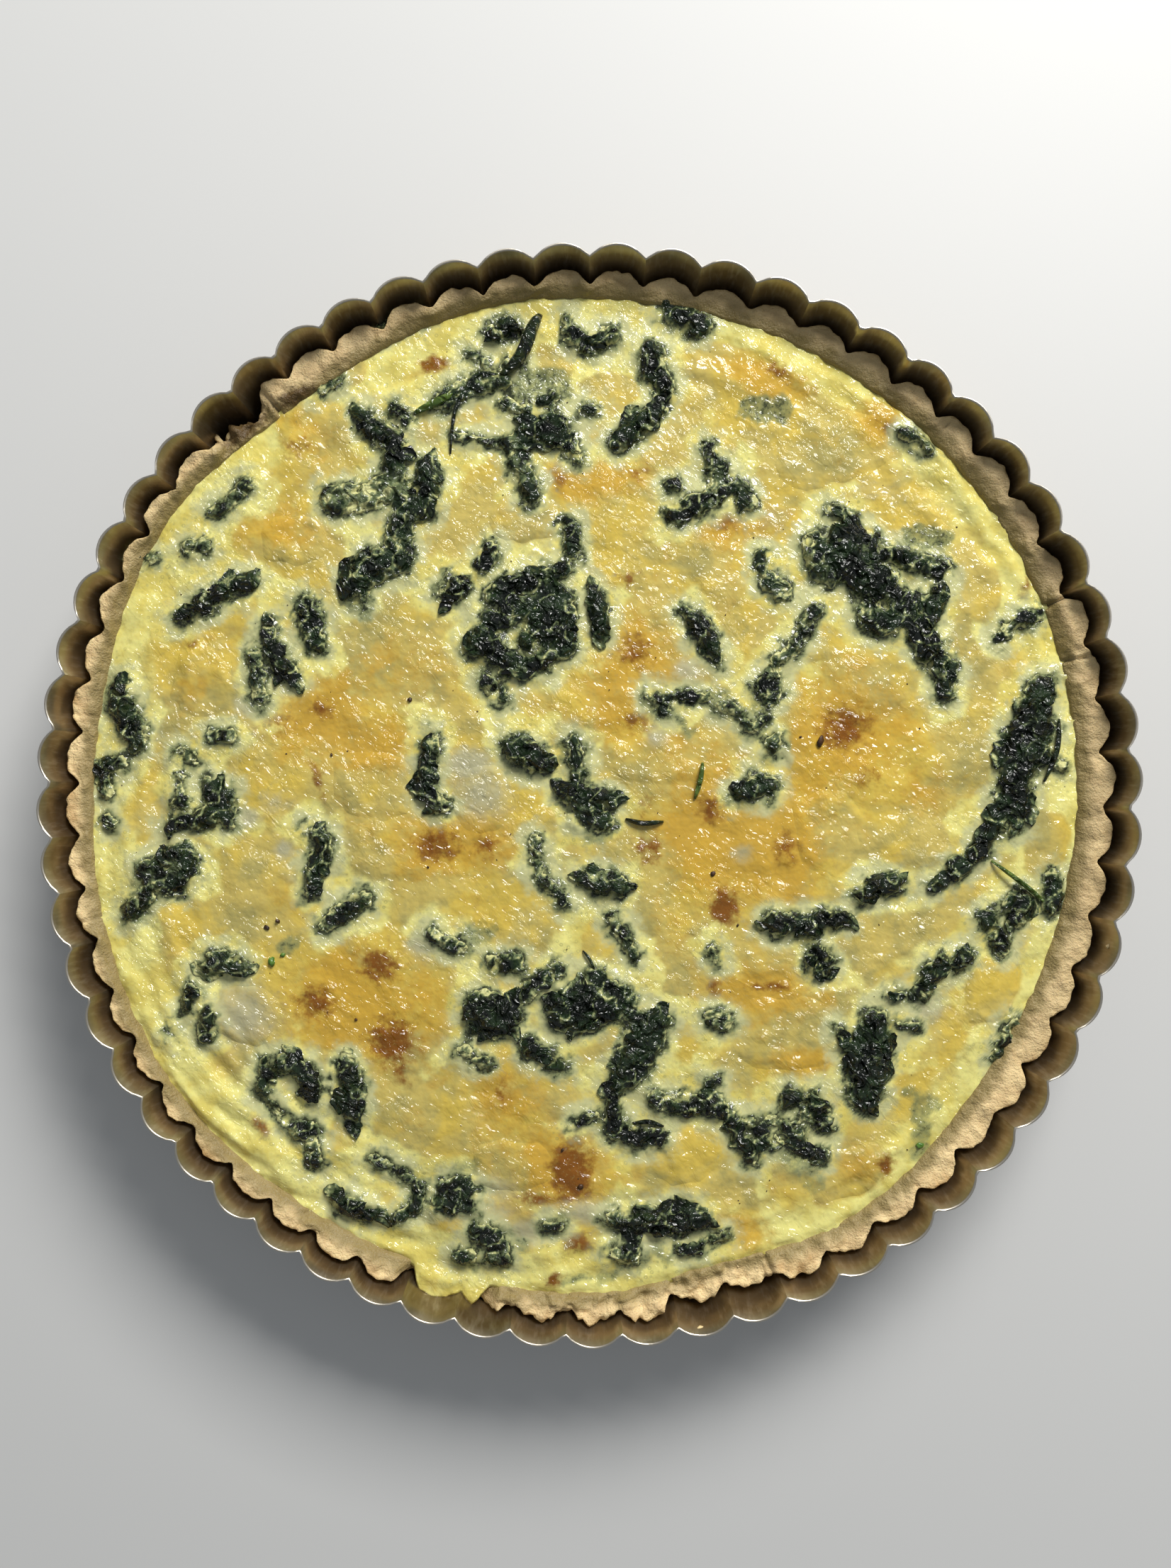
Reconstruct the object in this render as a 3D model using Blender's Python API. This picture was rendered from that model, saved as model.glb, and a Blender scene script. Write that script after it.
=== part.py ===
"""Spinach quiche baked in its own fluted tart tin.

Frame: metres, +Z up, origin in the middle of the flat face the tin stands on.
The quiche is whole: a tin, a pastry case nested in it, a custard filling that
fills the case, and on top of it slices of half melted cheese and clumps of
cooked spinach, each one a solid of its own.  Sizes and places in the tables
below are in millimetres and are turned into metres by MM.
"""

import math
import random
from dataclasses import dataclass

import bmesh
import bpy
from mathutils import Vector
from mathutils.bvhtree import BVHTree
from mathutils.geometry import delaunay_2d_cdt

MM = 0.001
GAP = 0.3 * MM                      # air left between solids that touch

# Tin: a pressed sheet pan with rounded outward flutes and sharp inward creases.
TIN_RIM_RADIUS = 120.0 * MM
TIN_BASE_RADIUS = 113.0 * MM
TIN_HEIGHT = 28.0 * MM
TIN_SHEET = 0.6 * MM
FLUTES = 60
FLUTE_DEPTH = 3.1 * MM
FLUTE_TURN = math.radians(-1.3)     # where the first crease sits
FLUTE_DRIFT = math.radians(1.3)     # the flutes crowd a little towards one side
STEPS_PER_FLUTE = 4

# Pastry case.
CRUST_UNDERSIDE = TIN_SHEET + GAP
CRUST_FLOOR = CRUST_UNDERSIDE + 4.0 * MM
CRUST_TOP = 22.1 * MM
CRUST_SHOULDER = 1.5 * MM           # height of the rounded outer edge
CRUST_SHRINK = 0.75 * MM            # mean air between baked pastry and tin
CRUST_SHRINK_SPREAD = 0.3 * MM
CROWN_SHARE = 0.45                  # where the flat crown ends, from the custard out
CROWN_DIP = 0.35 * MM
SHOULDER_LEAN = 0.35                # how far the outer edge leans in, of its height
INNER_LIP = 0.1 * MM                # pastry stands this much over the custard's edge
RIM_WAVES = ((3, 0.6, 0.3 * MM), (7, 2.0, 0.2 * MM))    # waves round, phase, height
RIM_LIFT_SPREAD = 0.4 * MM

# Custard filling.
CUSTARD_TOP = 20.3 * MM
FOOT_RADIUS = 102.5 * MM            # the filling's foot on the pastry floor
FOOT_HEIGHT = CRUST_FLOOR + GAP
SIDE_GAP = 0.4 * MM
SURFACE_STEP = 9.0 * MM             # spacing of the points that carry the relief
EDGE_CLEAR = 4.0 * MM               # the last of them stay this far inside the edge
SWELL_FALLOFF = 2.0                 # a swell has faded out at its radius
REST_GAP = 0.45 * MM                # air under toppings, which bridge the facets

# The custard ran over the pastry between these angles and stopped at the tin.
OVERFLOW = (math.radians(249.9), math.radians(257.2))
OVERFLOW_SILL = 17.6 * MM
OVERFLOW_BACK = 0.9 * MM            # air between the run-over custard and the tin
SILL_SHOULDER = 0.4 * MM
SILL_DIP = 0.2 * MM
NOTCH_MARGIN = math.radians(1.6)    # the pastry's notch is one column wider each side

# Custard meets pastry: (degrees round from +X, radius in mm), joined smoothly.
CUSTARD_EDGE = (
    (0, 108.3), (30, 109.3), (75, 110.0), (99, 111.0), (125, 108.4), (150, 112.0),
    (172, 110.4), (215, 112.6), (240, 111.0), (270, 110.8), (285, 108.0),
    (301, 110.3), (327, 107.6), (345, 108.0),
)


@dataclass(frozen=True)
class RimMark:
    """A stretch of pastry rim, in degrees, that is lower and set back, or raised."""

    start: float
    end: float
    drop: float
    setback: float


RIM_MARKS = (
    RimMark(15.8, 22.8, -0.9, -0.45),     # thick fold leaning out
    RimMark(129.5, 137.5, 2.0, 1.6),      # lobe broken away
    RimMark(278.5, 290.5, 0.9, 0.9),      # crumbled edge
    RimMark(200.0, 246.0, -0.5, 0.0),     # stands proud of the custard
)


@dataclass(frozen=True)
class Swell:
    """A low rise or hollow of the custard: place, radius and height in mm."""

    x: float
    y: float
    radius: float
    height: float


SWELLS = (
    Swell(97, 12, 22, 0.7), Swell(60, 48, 26, 0.5), Swell(-10, 40, 24, 0.5),
    Swell(-42, 68, 26, 0.4), Swell(-12, -49, 26, 0.6), Swell(-26, 6, 20, 0.5),
    Swell(-90, -52, 20, 0.5), Swell(-78, -66, 18, 0.6), Swell(-30, -97, 20, -0.7),
    Swell(0, -99, 14, 0.5), Swell(42, 93, 22, 0.7), Swell(70, 76, 20, 0.5),
    Swell(48, -28, 24, 0.4), Swell(0, -15, 30, -0.4), Swell(62, -60, 26, 0.4),
    Swell(10, 90, 26, -0.4), Swell(-88, 10, 26, -0.4),
)


@dataclass(frozen=True)
class Slice:
    """A half melted slice of cheese: centre, length, width in mm and heading in degrees."""

    name: str
    x: float
    y: float
    length: float
    width: float
    heading: float


SLICE_THICKNESS = 1.1 * MM
SLICE_CROWN = 0.3 * MM
SLICE_POINTS = 12
SLICE_INSET = 0.86
SLICE_SQUARENESS = 0.72             # 1 is an ellipse, towards 0 a square
SLICE_WOBBLE = 0.06

SLICES = (
    Slice("cheese_south_east", 43.5, -53.0, 23, 16, 0),
    Slice("cheese_south", 21.0, -80.5, 18, 11, 8),
    Slice("cheese_south_mid", -18.0, -82.5, 17, 11, 0),
    Slice("cheese_west_grey", -76.5, -49.0, 12, 12, 40),
    Slice("cheese_white_dome", -24.0, -0.5, 13, 14, 0),
    Slice("cheese_west_mid", -48.5, 2.0, 17, 14, 0),
    Slice("cheese_west", -86.0, 25.0, 13, 15, 0),
    Slice("cheese_north_west", -66.0, 57.0, 14, 11, 0),
    Slice("cheese_north", -14.5, 61.5, 15, 10, 0),
    Slice("cheese_north_east", 54.0, 77.0, 25, 14, 15),
    Slice("cheese_east_mid", 53.0, -8.0, 14, 18, 0),
    Slice("cheese_east_rim", 89.5, -43.5, 10, 15, -28),
    Slice("cheese_south_east_rim", 57.0, -84.0, 17, 10, 20),
)


@dataclass(frozen=True)
class Leaf:
    """A clump of cooked spinach along a bent spine: width, height and spine in mm."""

    name: str
    width: float
    height: float
    spine: tuple


LEAF_STATION = 4.2 * MM             # spacing of the sections along a clump
LEAF_TIP = 0.42                     # width left at the tips
LEAF_SHOULDER = 0.66                # where the side turns over, across and up
LEAF_LEAN = 0.16                    # how far the crown sits off the middle
LEAF_TIP_RISE = 0.45                # height left at the tips
LEAF_ROUNDNESS = 0.6                # below 1 keeps a clump full towards its tips

LEAVES = (
    Leaf("spinach_north_rim", 5.5, 1.7, ((-23, 102.3), (-18.8, 104.2), (-15, 102.6))),
    Leaf("spinach_north_block", 8.5, 2.2, ((-16.5, 82), (-10, 81), (-4.5, 82.5))),
    Leaf("spinach_feather", 5.5, 1.5, ((5, 77), (9, 81), (16.5, 86.5))),
    Leaf("spinach_branch_upper", 4.6, 1.8, ((-52, 86.5), (-49, 82), (-45, 78.5), (-40, 76.5))),
    Leaf("spinach_branch_mid", 6.0, 2.1, ((-37, 75), (-36, 70), (-37, 65), (-39.5, 60))),
    Leaf("spinach_west_curl", 8.5, 2.3, ((-42, 54.5), (-47, 51.5), (-52, 49), (-51, 42.5))),
    Leaf("spinach_round", 7.5, 2.0, ((-33, 43.5), (-30, 46.5), (-26.5, 48))),
    Leaf("spinach_ring_top", 5.0, 1.8, ((-21, 47.5), (-14, 48), (-9, 49.2), (-4, 51.3))),
    Leaf("spinach_ring_east", 7.5, 2.2, ((-7.0, 43.5), (-7.6, 38), (-9.5, 32.5))),
    Leaf("spinach_ring_south", 5.6, 1.9, ((-24.5, 38), (-23.5, 34), (-20, 31), (-15.2, 29.2))),
    Leaf("spinach_bean", 3.5, 1.6, ((0, 47), (2.1, 43), (3, 38.5), (1.6, 34.5))),
    Leaf("spinach_oval", 5.2, 1.8, ((22, 41), (24.5, 37.5), (26.5, 33), (29, 29.5))),
    Leaf("spinach_east_heap", 9.5, 2.3, ((55.5, 60.5), (58, 54), (61.5, 48), (69, 44.5))),
    Leaf("spinach_east_strand", 5.0, 1.9, ((77.5, 47), (77, 42), (74.3, 37), (77, 31), (79.3, 24.5))),
    Leaf("spinach_giant_leaf", 8.8, 2.2, ((100.8, 27), (99.5, 20), (96.5, 12), (94.5, 4), (96, -4.5))),
    Leaf("spinach_link", 4.2, 1.7, ((75.5, -20.5), (80.5, -17.8), (85, -14), (88.3, -10), (90.3, -4))),
    Leaf("spinach_chain", 5.8, 2.0, ((59.5, -23.2), (64.5, -19.8), (70.5, -20.3))),
    Leaf("spinach_bar", 5.4, 1.9, ((38, -28.3), (47, -28.8), (57.5, -27.3))),
    Leaf("spinach_bar_stem", 7.0, 1.7, ((51, -33.2), (51.3, -36.5), (51.8, -40))),
    Leaf("spinach_south_east_leaf", 5.0, 1.8, ((86, -35.3), (81, -36.5), (76, -39.2), (73.8, -46))),
    Leaf("spinach_east_rim", 6.5, 1.7, ((98.6, -21.3), (95.5, -24.5), (94, -28.8))),
    Leaf("spinach_flat_leaf", 9.5, 1.7, ((63.6, -48.5), (62.6, -56), (61.8, -63), (61, -70.5))),
    Leaf("spinach_south_heap_west", 10.0, 2.4, ((-27.5, -46.5), (-22, -49), (-15.6, -50.5))),
    Leaf("spinach_south_heap_east", 10.5, 2.4, ((-9.5, -48.5), (-3, -47.5), (6.8, -47))),
    Leaf("spinach_long_leaf", 4.6, 2.0,
         ((17.8, -51.4), (15.5, -49.4), (12.6, -51), (9.6, -56.5), (5.8, -63), (4.9, -72.5))),
    Leaf("spinach_south_chain", 4.2, 1.7,
         ((13.5, -67), (19, -68.8), (27, -68.8), (32, -72.5), (35, -80))),
    Leaf("spinach_arch", 4.4, 1.7, ((42, -70), (45, -67.2), (49.5, -67.2), (52.5, -72))),
    Leaf("spinach_south_rim", 7.5, 1.9, ((9.8, -93.5), (15, -95.2), (21, -93.8), (25.5, -95.5))),
    Leaf("spinach_south_west_leaf", 6.8, 1.9, ((-55, -59), (-54, -65), (-52, -72.5))),
    Leaf("spinach_south_west_hook", 5.0, 1.8, ((-71.3, -61.5), (-67, -59.2), (-62.8, -62), (-62, -67.5))),
    Leaf("spinach_south_west_rim", 5.4, 1.7, ((-56.5, -88.5), (-53, -92), (-46.5, -93.8))),
    Leaf("spinach_west_low", 5.0, 1.7, ((-87, -38.3), (-82, -36.8), (-76.5, -38.8))),
    Leaf("spinach_west_chain", 4.6, 1.8, ((-63, -6), (-59, -11), (-61, -16.5), (-62.5, -22.5))),
    Leaf("spinach_west_stick", 5.2, 1.7, ((-104, -28.3), (-100, -24), (-96.8, -20.8))),
    Leaf("spinach_west_coil", 4.4, 1.9, ((-96.8, -15), (-92.5, -11.8), (-88.3, -15), (-90.3, -20.8))),
    Leaf("spinach_west_elbow", 3.8, 1.7, ((-94.5, -7), (-88, -5.4), (-82.6, -3.8), (-82.5, 3.5))),
    Leaf("spinach_far_west", 6.0, 1.8, ((-104.8, 27), (-104.6, 20.5), (-102, 15), (-100, 10))),
    Leaf("spinach_west_upper", 4.4, 1.9, ((-72.4, 39.5), (-71.5, 34.5), (-68.8, 30), (-65.3, 25))),
    Leaf("spinach_north_west_long", 4.6, 1.9, ((-93, 38.7), (-86.5, 42.3), (-80.5, 46.3), (-74.3, 48.5))),
    Leaf("spinach_crescent", 4.0, 1.6, ((-34.6, 15), (-35.6, 9), (-36.6, 4), (-34.8, -1.5))),
    Leaf("spinach_centre_west", 7.4, 2.2, ((-19, 12), (-14, 8.8), (-8.5, 6.6))),
    Leaf("spinach_centre", 5.2, 2.0, ((-7.5, 1.0), (-2, 0), (6.5, -1.2))),
    Leaf("spinach_south_centre", 6.2, 2.0, ((-3, -18.4), (3, -19.2), (8.3, -21.8))),
    Leaf("spinach_east_centre", 4.2, 1.7, ((31, -0.2), (35, 0.8), (39.8, 1.5))),
)

COLOURS = {
    "tin": ((0.155, 0.125, 0.078), 0.38, 0.9),
    "crust": ((0.52, 0.33, 0.17), 0.75, 0.0),
    "custard": ((0.80, 0.66, 0.22), 0.35, 0.0),
    "cheese": ((0.62, 0.48, 0.16), 0.28, 0.0),
    "spinach": ((0.012, 0.020, 0.012), 0.25, 0.0),
}
SMOOTH_ANGLE = math.radians(42)
CRUST_SEED = 4
SLICE_SEED = 23


def clear_scene():
    """Remove every object, so the file gives the same model in any scene."""
    for item in list(bpy.data.objects):
        bpy.data.objects.remove(item, do_unlink=True)


def add_object(name, mesh_builder, kind):
    """Turn a bmesh into a named object with a material of its own."""
    bmesh.ops.recalc_face_normals(mesh_builder, faces=mesh_builder.faces)
    mesh = bpy.data.meshes.new(name)
    mesh_builder.to_mesh(mesh)
    mesh_builder.free()
    mesh.shade_smooth()
    mesh.set_sharp_from_angle(angle=SMOOTH_ANGLE)
    colour, roughness, metallic = COLOURS[kind]
    material = bpy.data.materials.new(name)
    material.use_nodes = True
    shader = material.node_tree.nodes["Principled BSDF"]
    shader.inputs["Base Color"].default_value = (*colour, 1.0)
    shader.inputs["Roughness"].default_value = roughness
    shader.inputs["Metallic"].default_value = metallic
    mesh.materials.append(material)
    item = bpy.data.objects.new(name, mesh)
    bpy.context.scene.collection.objects.link(item)
    return item


def skin(rings):
    """Close a stack of equal rings of points with walls and two flat caps."""
    builder = bmesh.new()
    loops = [[builder.verts.new(point) for point in ring] for ring in rings]
    count = len(loops[0])
    for lower, upper in zip(loops, loops[1:]):
        for i in range(count):
            j = (i + 1) % count
            builder.faces.new((lower[i], lower[j], upper[j], upper[i]))
    builder.faces.new(loops[0])
    builder.faces.new(loops[-1])
    return builder


# --- Flutes: one column of points every quarter flute, shared by tin, pastry and custard.

def flute_sag(across):
    """How far the wall stands in from a flute's crown; across runs -1 to 1, crease to crease."""
    half_chord = TIN_RIM_RADIUS * math.sin(math.pi / FLUTES)
    arc = (half_chord ** 2 + FLUTE_DEPTH ** 2) / (2 * FLUTE_DEPTH)
    return arc - math.sqrt(arc ** 2 - (across * half_chord) ** 2)


def columns():
    """Yield (angle, sag, flute number) for each column round the tin."""
    for index in range(FLUTES * STEPS_PER_FLUTE):
        turns = index / STEPS_PER_FLUTE
        even = math.tau * turns / FLUTES
        angle = even + FLUTE_TURN + FLUTE_DRIFT * math.sin(even)
        across = 2 * (turns % 1.0) - 1
        yield angle % math.tau, flute_sag(across), int(turns)


def tin_inside(height, sag):
    """Radius of the tin's inner face at a height above the base."""
    lean = (TIN_RIM_RADIUS - TIN_BASE_RADIUS) / TIN_HEIGHT
    return TIN_BASE_RADIUS + lean * height - sag - TIN_SHEET


def polar(angle, radius, height):
    """A point from its angle, radius and height."""
    return Vector((radius * math.cos(angle), radius * math.sin(angle), height))


def tin():
    """The fluted pan: outer wall up, over the thin rim, inner wall down to the floor."""
    sizes = ((0.0, TIN_SHEET), (TIN_HEIGHT, TIN_SHEET), (TIN_HEIGHT, 0.0), (TIN_SHEET, 0.0))
    rings = [[polar(angle, tin_inside(height, sag) + out, height) for angle, sag, _ in columns()]
             for height, out in sizes]
    return add_object("tin", skin(rings), "tin")


# --- Pastry and custard profiles, by angle.

def custard_edge(angle):
    """Radius where custard meets pastry, eased between the named angles."""
    degrees = math.degrees(angle) % 360
    marks = CUSTARD_EDGE + ((CUSTARD_EDGE[0][0] + 360, CUSTARD_EDGE[0][1]),)
    for (low, low_radius), (high, high_radius) in zip(marks, marks[1:]):
        if low <= degrees <= high:
            share = (degrees - low) / (high - low)
            ease = share * share * (3 - 2 * share)
            return (low_radius + (high_radius - low_radius) * ease) * MM
    raise ValueError(degrees)


def custard_height(x, y):
    """Height of the custard's skin: a level with low rises and hollows."""
    height = CUSTARD_TOP
    for swell in SWELLS:
        spread = ((x - swell.x * MM) ** 2 + (y - swell.y * MM) ** 2) / (swell.radius * MM) ** 2
        height += swell.height * MM * math.exp(-SWELL_FALLOFF * spread)
    return height


def rim_mark(angle):
    """Total drop and setback of the pastry rim at an angle."""
    degrees = math.degrees(angle)
    marks = [mark for mark in RIM_MARKS if mark.start <= degrees <= mark.end]
    return (sum(mark.drop for mark in marks) * MM, sum(mark.setback for mark in marks) * MM)


def custard_rim(angle, sag):
    """Radius and height of the custard's edge, out at the tin where it ran over."""
    radius = custard_edge(angle)
    height = custard_height(radius * math.cos(angle), radius * math.sin(angle))
    if OVERFLOW[0] <= angle <= OVERFLOW[1]:
        radius = tin_inside(height, sag) - OVERFLOW_BACK
    return radius, height


def custard_side(angle, sag, height):
    """Radius of the custard's slanting side at a height."""
    edge_radius, edge_height = custard_rim(angle, sag)
    share = (height - FOOT_HEIGHT) / (edge_height - FOOT_HEIGHT)
    return FOOT_RADIUS + (edge_radius - FOOT_RADIUS) * share


def crust_profile(angle, sag, lift, shrink):
    """Six (radius, height) points: under the floor, up the outside, over the rim, to the floor."""
    drop, setback = rim_mark(angle)
    top = CRUST_TOP + lift - drop
    inner = custard_rim(angle, sag)[1] + INNER_LIP
    shoulder = CRUST_SHOULDER
    if OVERFLOW[0] - NOTCH_MARGIN <= angle <= OVERFLOW[1] + NOTCH_MARGIN:
        top = OVERFLOW_SILL
        inner = top - SILL_DIP
        shoulder = SILL_SHOULDER
    outer = tin_inside(top - shoulder, sag) - shrink - setback
    inner_radius = custard_side(angle, sag, inner) + SIDE_GAP
    crown_outer = outer - SHOULDER_LEAN * shoulder
    crown_inner = inner_radius + CROWN_SHARE * (crown_outer - inner_radius)
    crown_dip = CROWN_DIP if shoulder == CRUST_SHOULDER else 0.0
    return (
        (tin_inside(CRUST_UNDERSIDE, sag) - shrink, CRUST_UNDERSIDE),
        (outer, top - shoulder),
        (crown_outer, top),
        (crown_inner, top - crown_dip),
        (inner_radius, inner),
        (FOOT_RADIUS + SIDE_GAP, CRUST_FLOOR),
    )


def crust():
    """The pastry case, with lobes pressed into the flutes and an uneven, broken rim."""
    chance = random.Random(CRUST_SEED)
    lifts = [chance.uniform(-1, 1) * RIM_LIFT_SPREAD for _ in range(FLUTES)]
    shrinks = [CRUST_SHRINK + chance.uniform(-1, 1) * CRUST_SHRINK_SPREAD for _ in range(FLUTES)]
    profiles = []
    for angle, sag, flute in columns():
        slow = sum(height * math.sin(waves * angle + phase) for waves, phase, height in RIM_WAVES)
        profiles.append((angle, crust_profile(angle, sag, lifts[flute] + slow, shrinks[flute])))
    levels = len(profiles[0][1])
    rings = [[polar(angle, *profile[level]) for angle, profile in profiles] for level in range(levels)]
    return add_object("crust", skin(rings), "crust")


def surface_points():
    """Points in a triangular pattern inside the custard's edge."""
    row_step = SURFACE_STEP * math.sqrt(3) / 2
    reach = int(max(radius for _, radius in CUSTARD_EDGE) * MM / row_step) + 1
    for row in range(-reach, reach + 1):
        shift = 0.5 * SURFACE_STEP * (row % 2)
        for column in range(-reach, reach + 1):
            x = column * SURFACE_STEP + shift
            y = row * row_step
            if math.hypot(x, y) < custard_edge(math.atan2(y, x) % math.tau) - EDGE_CLEAR:
                yield Vector((x, y))


def custard():
    """The filling: a slanting side, a flat foot and a skin with gentle relief."""
    outline = [(angle, *custard_rim(angle, sag)) for angle, sag, _ in columns()]
    edge = [polar(angle, radius, 0.0).to_2d() for angle, radius, _ in outline]
    seams = [(i, (i + 1) % len(edge)) for i in range(len(edge))]
    points, _, faces, origins, *_ = delaunay_2d_cdt(edge + list(surface_points()), seams, [], 1, 1e-7)
    builder = bmesh.new()
    skin_verts = [builder.verts.new((p.x, p.y, custard_height(p.x, p.y))) for p in points]
    rim = {source: skin_verts[i] for i, sources in enumerate(origins) for source in sources
           if source < len(edge)}
    for i, (_, _, height) in enumerate(outline):
        rim[i].co.z = height
    for face in faces:
        builder.faces.new([skin_verts[i] for i in face])
    foot = [builder.verts.new(polar(angle, FOOT_RADIUS, FOOT_HEIGHT)) for angle, _, _ in outline]
    for i, j in seams:
        builder.faces.new((foot[i], foot[j], rim[j], rim[i]))
    builder.faces.new(foot)
    bmesh.ops.triangulate(builder, faces=builder.faces)
    return add_object("filling", builder, "custard")


# --- Toppings that lie on the custard.

class Ground:
    """Finds the height of the custard's skin under a point."""

    def __init__(self, item):
        self.tree = BVHTree.FromPolygons(
            [vertex.co for vertex in item.data.vertices],
            [polygon.vertices for polygon in item.data.polygons])

    def above(self, x, y, lift=0.0):
        """The point a rest gap, and a further lift, above the skin."""
        hit = self.tree.ray_cast(Vector((x, y, TIN_HEIGHT * 2)), Vector((0, 0, -1)))[0]
        return Vector((x, y, hit.z + REST_GAP + lift))


def cheese(slab, ground, chance):
    """A flat slice with soft corners, a melted edge and a slightly domed top."""
    heading = math.radians(slab.heading)
    lower, upper = [], []
    for i in range(SLICE_POINTS):
        turn = math.tau * i / SLICE_POINTS
        reach = 1 + chance.uniform(-1, 1) * SLICE_WOBBLE
        along = math.copysign(abs(math.cos(turn)) ** SLICE_SQUARENESS, math.cos(turn)) * slab.length / 2
        across = math.copysign(abs(math.sin(turn)) ** SLICE_SQUARENESS, math.sin(turn)) * slab.width / 2
        x = (along * math.cos(heading) - across * math.sin(heading)) * reach * MM
        y = (along * math.sin(heading) + across * math.cos(heading)) * reach * MM
        lower.append(ground.above(slab.x * MM + x, slab.y * MM + y))
        upper.append(ground.above(slab.x * MM + x * SLICE_INSET, slab.y * MM + y * SLICE_INSET,
                                  SLICE_THICKNESS))
    builder = bmesh.new()
    low = [builder.verts.new(point) for point in lower]
    high = [builder.verts.new(point) for point in upper]
    under = builder.verts.new(ground.above(slab.x * MM, slab.y * MM))
    crown = builder.verts.new(ground.above(slab.x * MM, slab.y * MM, SLICE_THICKNESS + SLICE_CROWN))
    for i in range(SLICE_POINTS):
        j = (i + 1) % SLICE_POINTS
        builder.faces.new((low[i], low[j], high[j], high[i]))
        builder.faces.new((high[i], high[j], crown))
        builder.faces.new((low[j], low[i], under))
    return add_object(slab.name, builder, "cheese")


def along_spine(spine, share):
    """Point and heading at a share of the way along a smooth curve through the spine."""
    spans = len(spine) - 1
    place = min(share * spans, spans - 1e-6)
    span = int(place)
    t = place - span
    knots = [Vector(spine[max(0, min(spans, span + k))]) for k in (-1, 0, 1, 2)]
    a = 2 * knots[1]
    b = knots[2] - knots[0]
    c = 2 * knots[0] - 5 * knots[1] + 4 * knots[2] - knots[3]
    d = 3 * (knots[1] - knots[2]) + knots[3] - knots[0]
    return 0.5 * (a + b * t + c * t * t + d * t ** 3), (b + 2 * c * t + 3 * d * t * t).normalized()


def spinach(leaf, ground, turn):
    """A flattened clump swept along its spine, thin at both tips, leaning to one side."""
    length = sum((Vector(p) - Vector(q)).length for p, q in zip(leaf.spine, leaf.spine[1:])) * MM
    stations = max(3, round(length / LEAF_STATION) + 1)
    rings = []
    for i in range(stations):
        share = i / (stations - 1)
        middle, heading = along_spine(leaf.spine, share)
        side = Vector((-heading.y, heading.x))
        fullness = max(0.0, math.sin(math.pi * share)) ** LEAF_ROUNDNESS
        half = 0.5 * leaf.width * (LEAF_TIP + (1 - LEAF_TIP) * fullness)
        rise = leaf.height * MM * (LEAF_TIP_RISE + (1 - LEAF_TIP_RISE) * fullness)
        section = ((-1, 0), (-LEAF_SHOULDER, LEAF_SHOULDER), (LEAF_LEAN * turn, 1),
                   (LEAF_SHOULDER, LEAF_SHOULDER), (1, 0))
        ring = []
        for across, up in section:
            place = (middle + side * half * across) * MM
            ring.append(ground.above(place.x, place.y, up * rise))
        rings.append(ring)
    return add_object(leaf.name, skin(rings), "spinach")


def main():
    """Build the tin, the pastry, the filling and then what lies on it."""
    clear_scene()
    tin()
    crust()
    ground = Ground(custard())
    chance = random.Random(SLICE_SEED)
    for slab in SLICES:
        cheese(slab, ground, chance)
    for number, leaf in enumerate(LEAVES):
        spinach(leaf, ground, 1 if number % 2 else -1)


main()
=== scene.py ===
"""Looks of a whole spinach quiche in its fluted tart tin.

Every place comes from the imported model: the tin's creases, the pastry's section,
the custard's edge and each clump and slice are read from its solids, and finer
pieces are built over them.  Tables hold millimetres in the model's own frame.
"""
import logging
import math
import random
from collections.abc import Callable
from dataclasses import dataclass, field
from enum import Enum

import bmesh
import bpy
import numpy as np
from mathutils import Matrix, Vector
from mathutils.bvhtree import BVHTree


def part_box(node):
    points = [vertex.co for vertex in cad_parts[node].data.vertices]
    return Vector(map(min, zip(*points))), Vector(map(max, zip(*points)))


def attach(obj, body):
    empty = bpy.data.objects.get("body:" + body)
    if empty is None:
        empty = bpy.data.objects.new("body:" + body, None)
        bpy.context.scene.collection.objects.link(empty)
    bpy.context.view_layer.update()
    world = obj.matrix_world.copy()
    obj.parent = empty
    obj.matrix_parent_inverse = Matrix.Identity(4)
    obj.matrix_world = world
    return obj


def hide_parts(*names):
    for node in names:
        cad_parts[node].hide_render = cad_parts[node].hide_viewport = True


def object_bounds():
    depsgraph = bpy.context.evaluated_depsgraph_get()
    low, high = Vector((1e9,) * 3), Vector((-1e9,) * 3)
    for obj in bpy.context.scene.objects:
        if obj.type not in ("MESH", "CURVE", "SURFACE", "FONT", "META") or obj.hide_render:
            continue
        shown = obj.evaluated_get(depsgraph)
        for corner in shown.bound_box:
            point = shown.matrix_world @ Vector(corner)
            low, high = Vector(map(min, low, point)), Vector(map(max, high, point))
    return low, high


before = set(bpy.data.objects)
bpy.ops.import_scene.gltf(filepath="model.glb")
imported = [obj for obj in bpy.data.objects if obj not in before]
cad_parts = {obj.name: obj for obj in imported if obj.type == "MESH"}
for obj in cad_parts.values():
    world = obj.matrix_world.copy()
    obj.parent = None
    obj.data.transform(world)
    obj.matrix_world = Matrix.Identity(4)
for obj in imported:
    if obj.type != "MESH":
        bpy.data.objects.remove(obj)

CAD_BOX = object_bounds()
MM = 0.001
UP = Vector((0.0, 0.0, 1.0))
DOWN = Vector((0.0, 0.0, -1.0))
OVERHEAD = 0.1
log = logging.getLogger("quiche")


class Slot(Enum):
    """The record's material slots."""

    TIN = "tin"
    PASTRY = "pastry"
    CUSTARD = "custard"
    CHEESE = "melted_cheese"
    SPINACH = "spinach"


# --- Noise and small measures -------------------------------------------------

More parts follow.
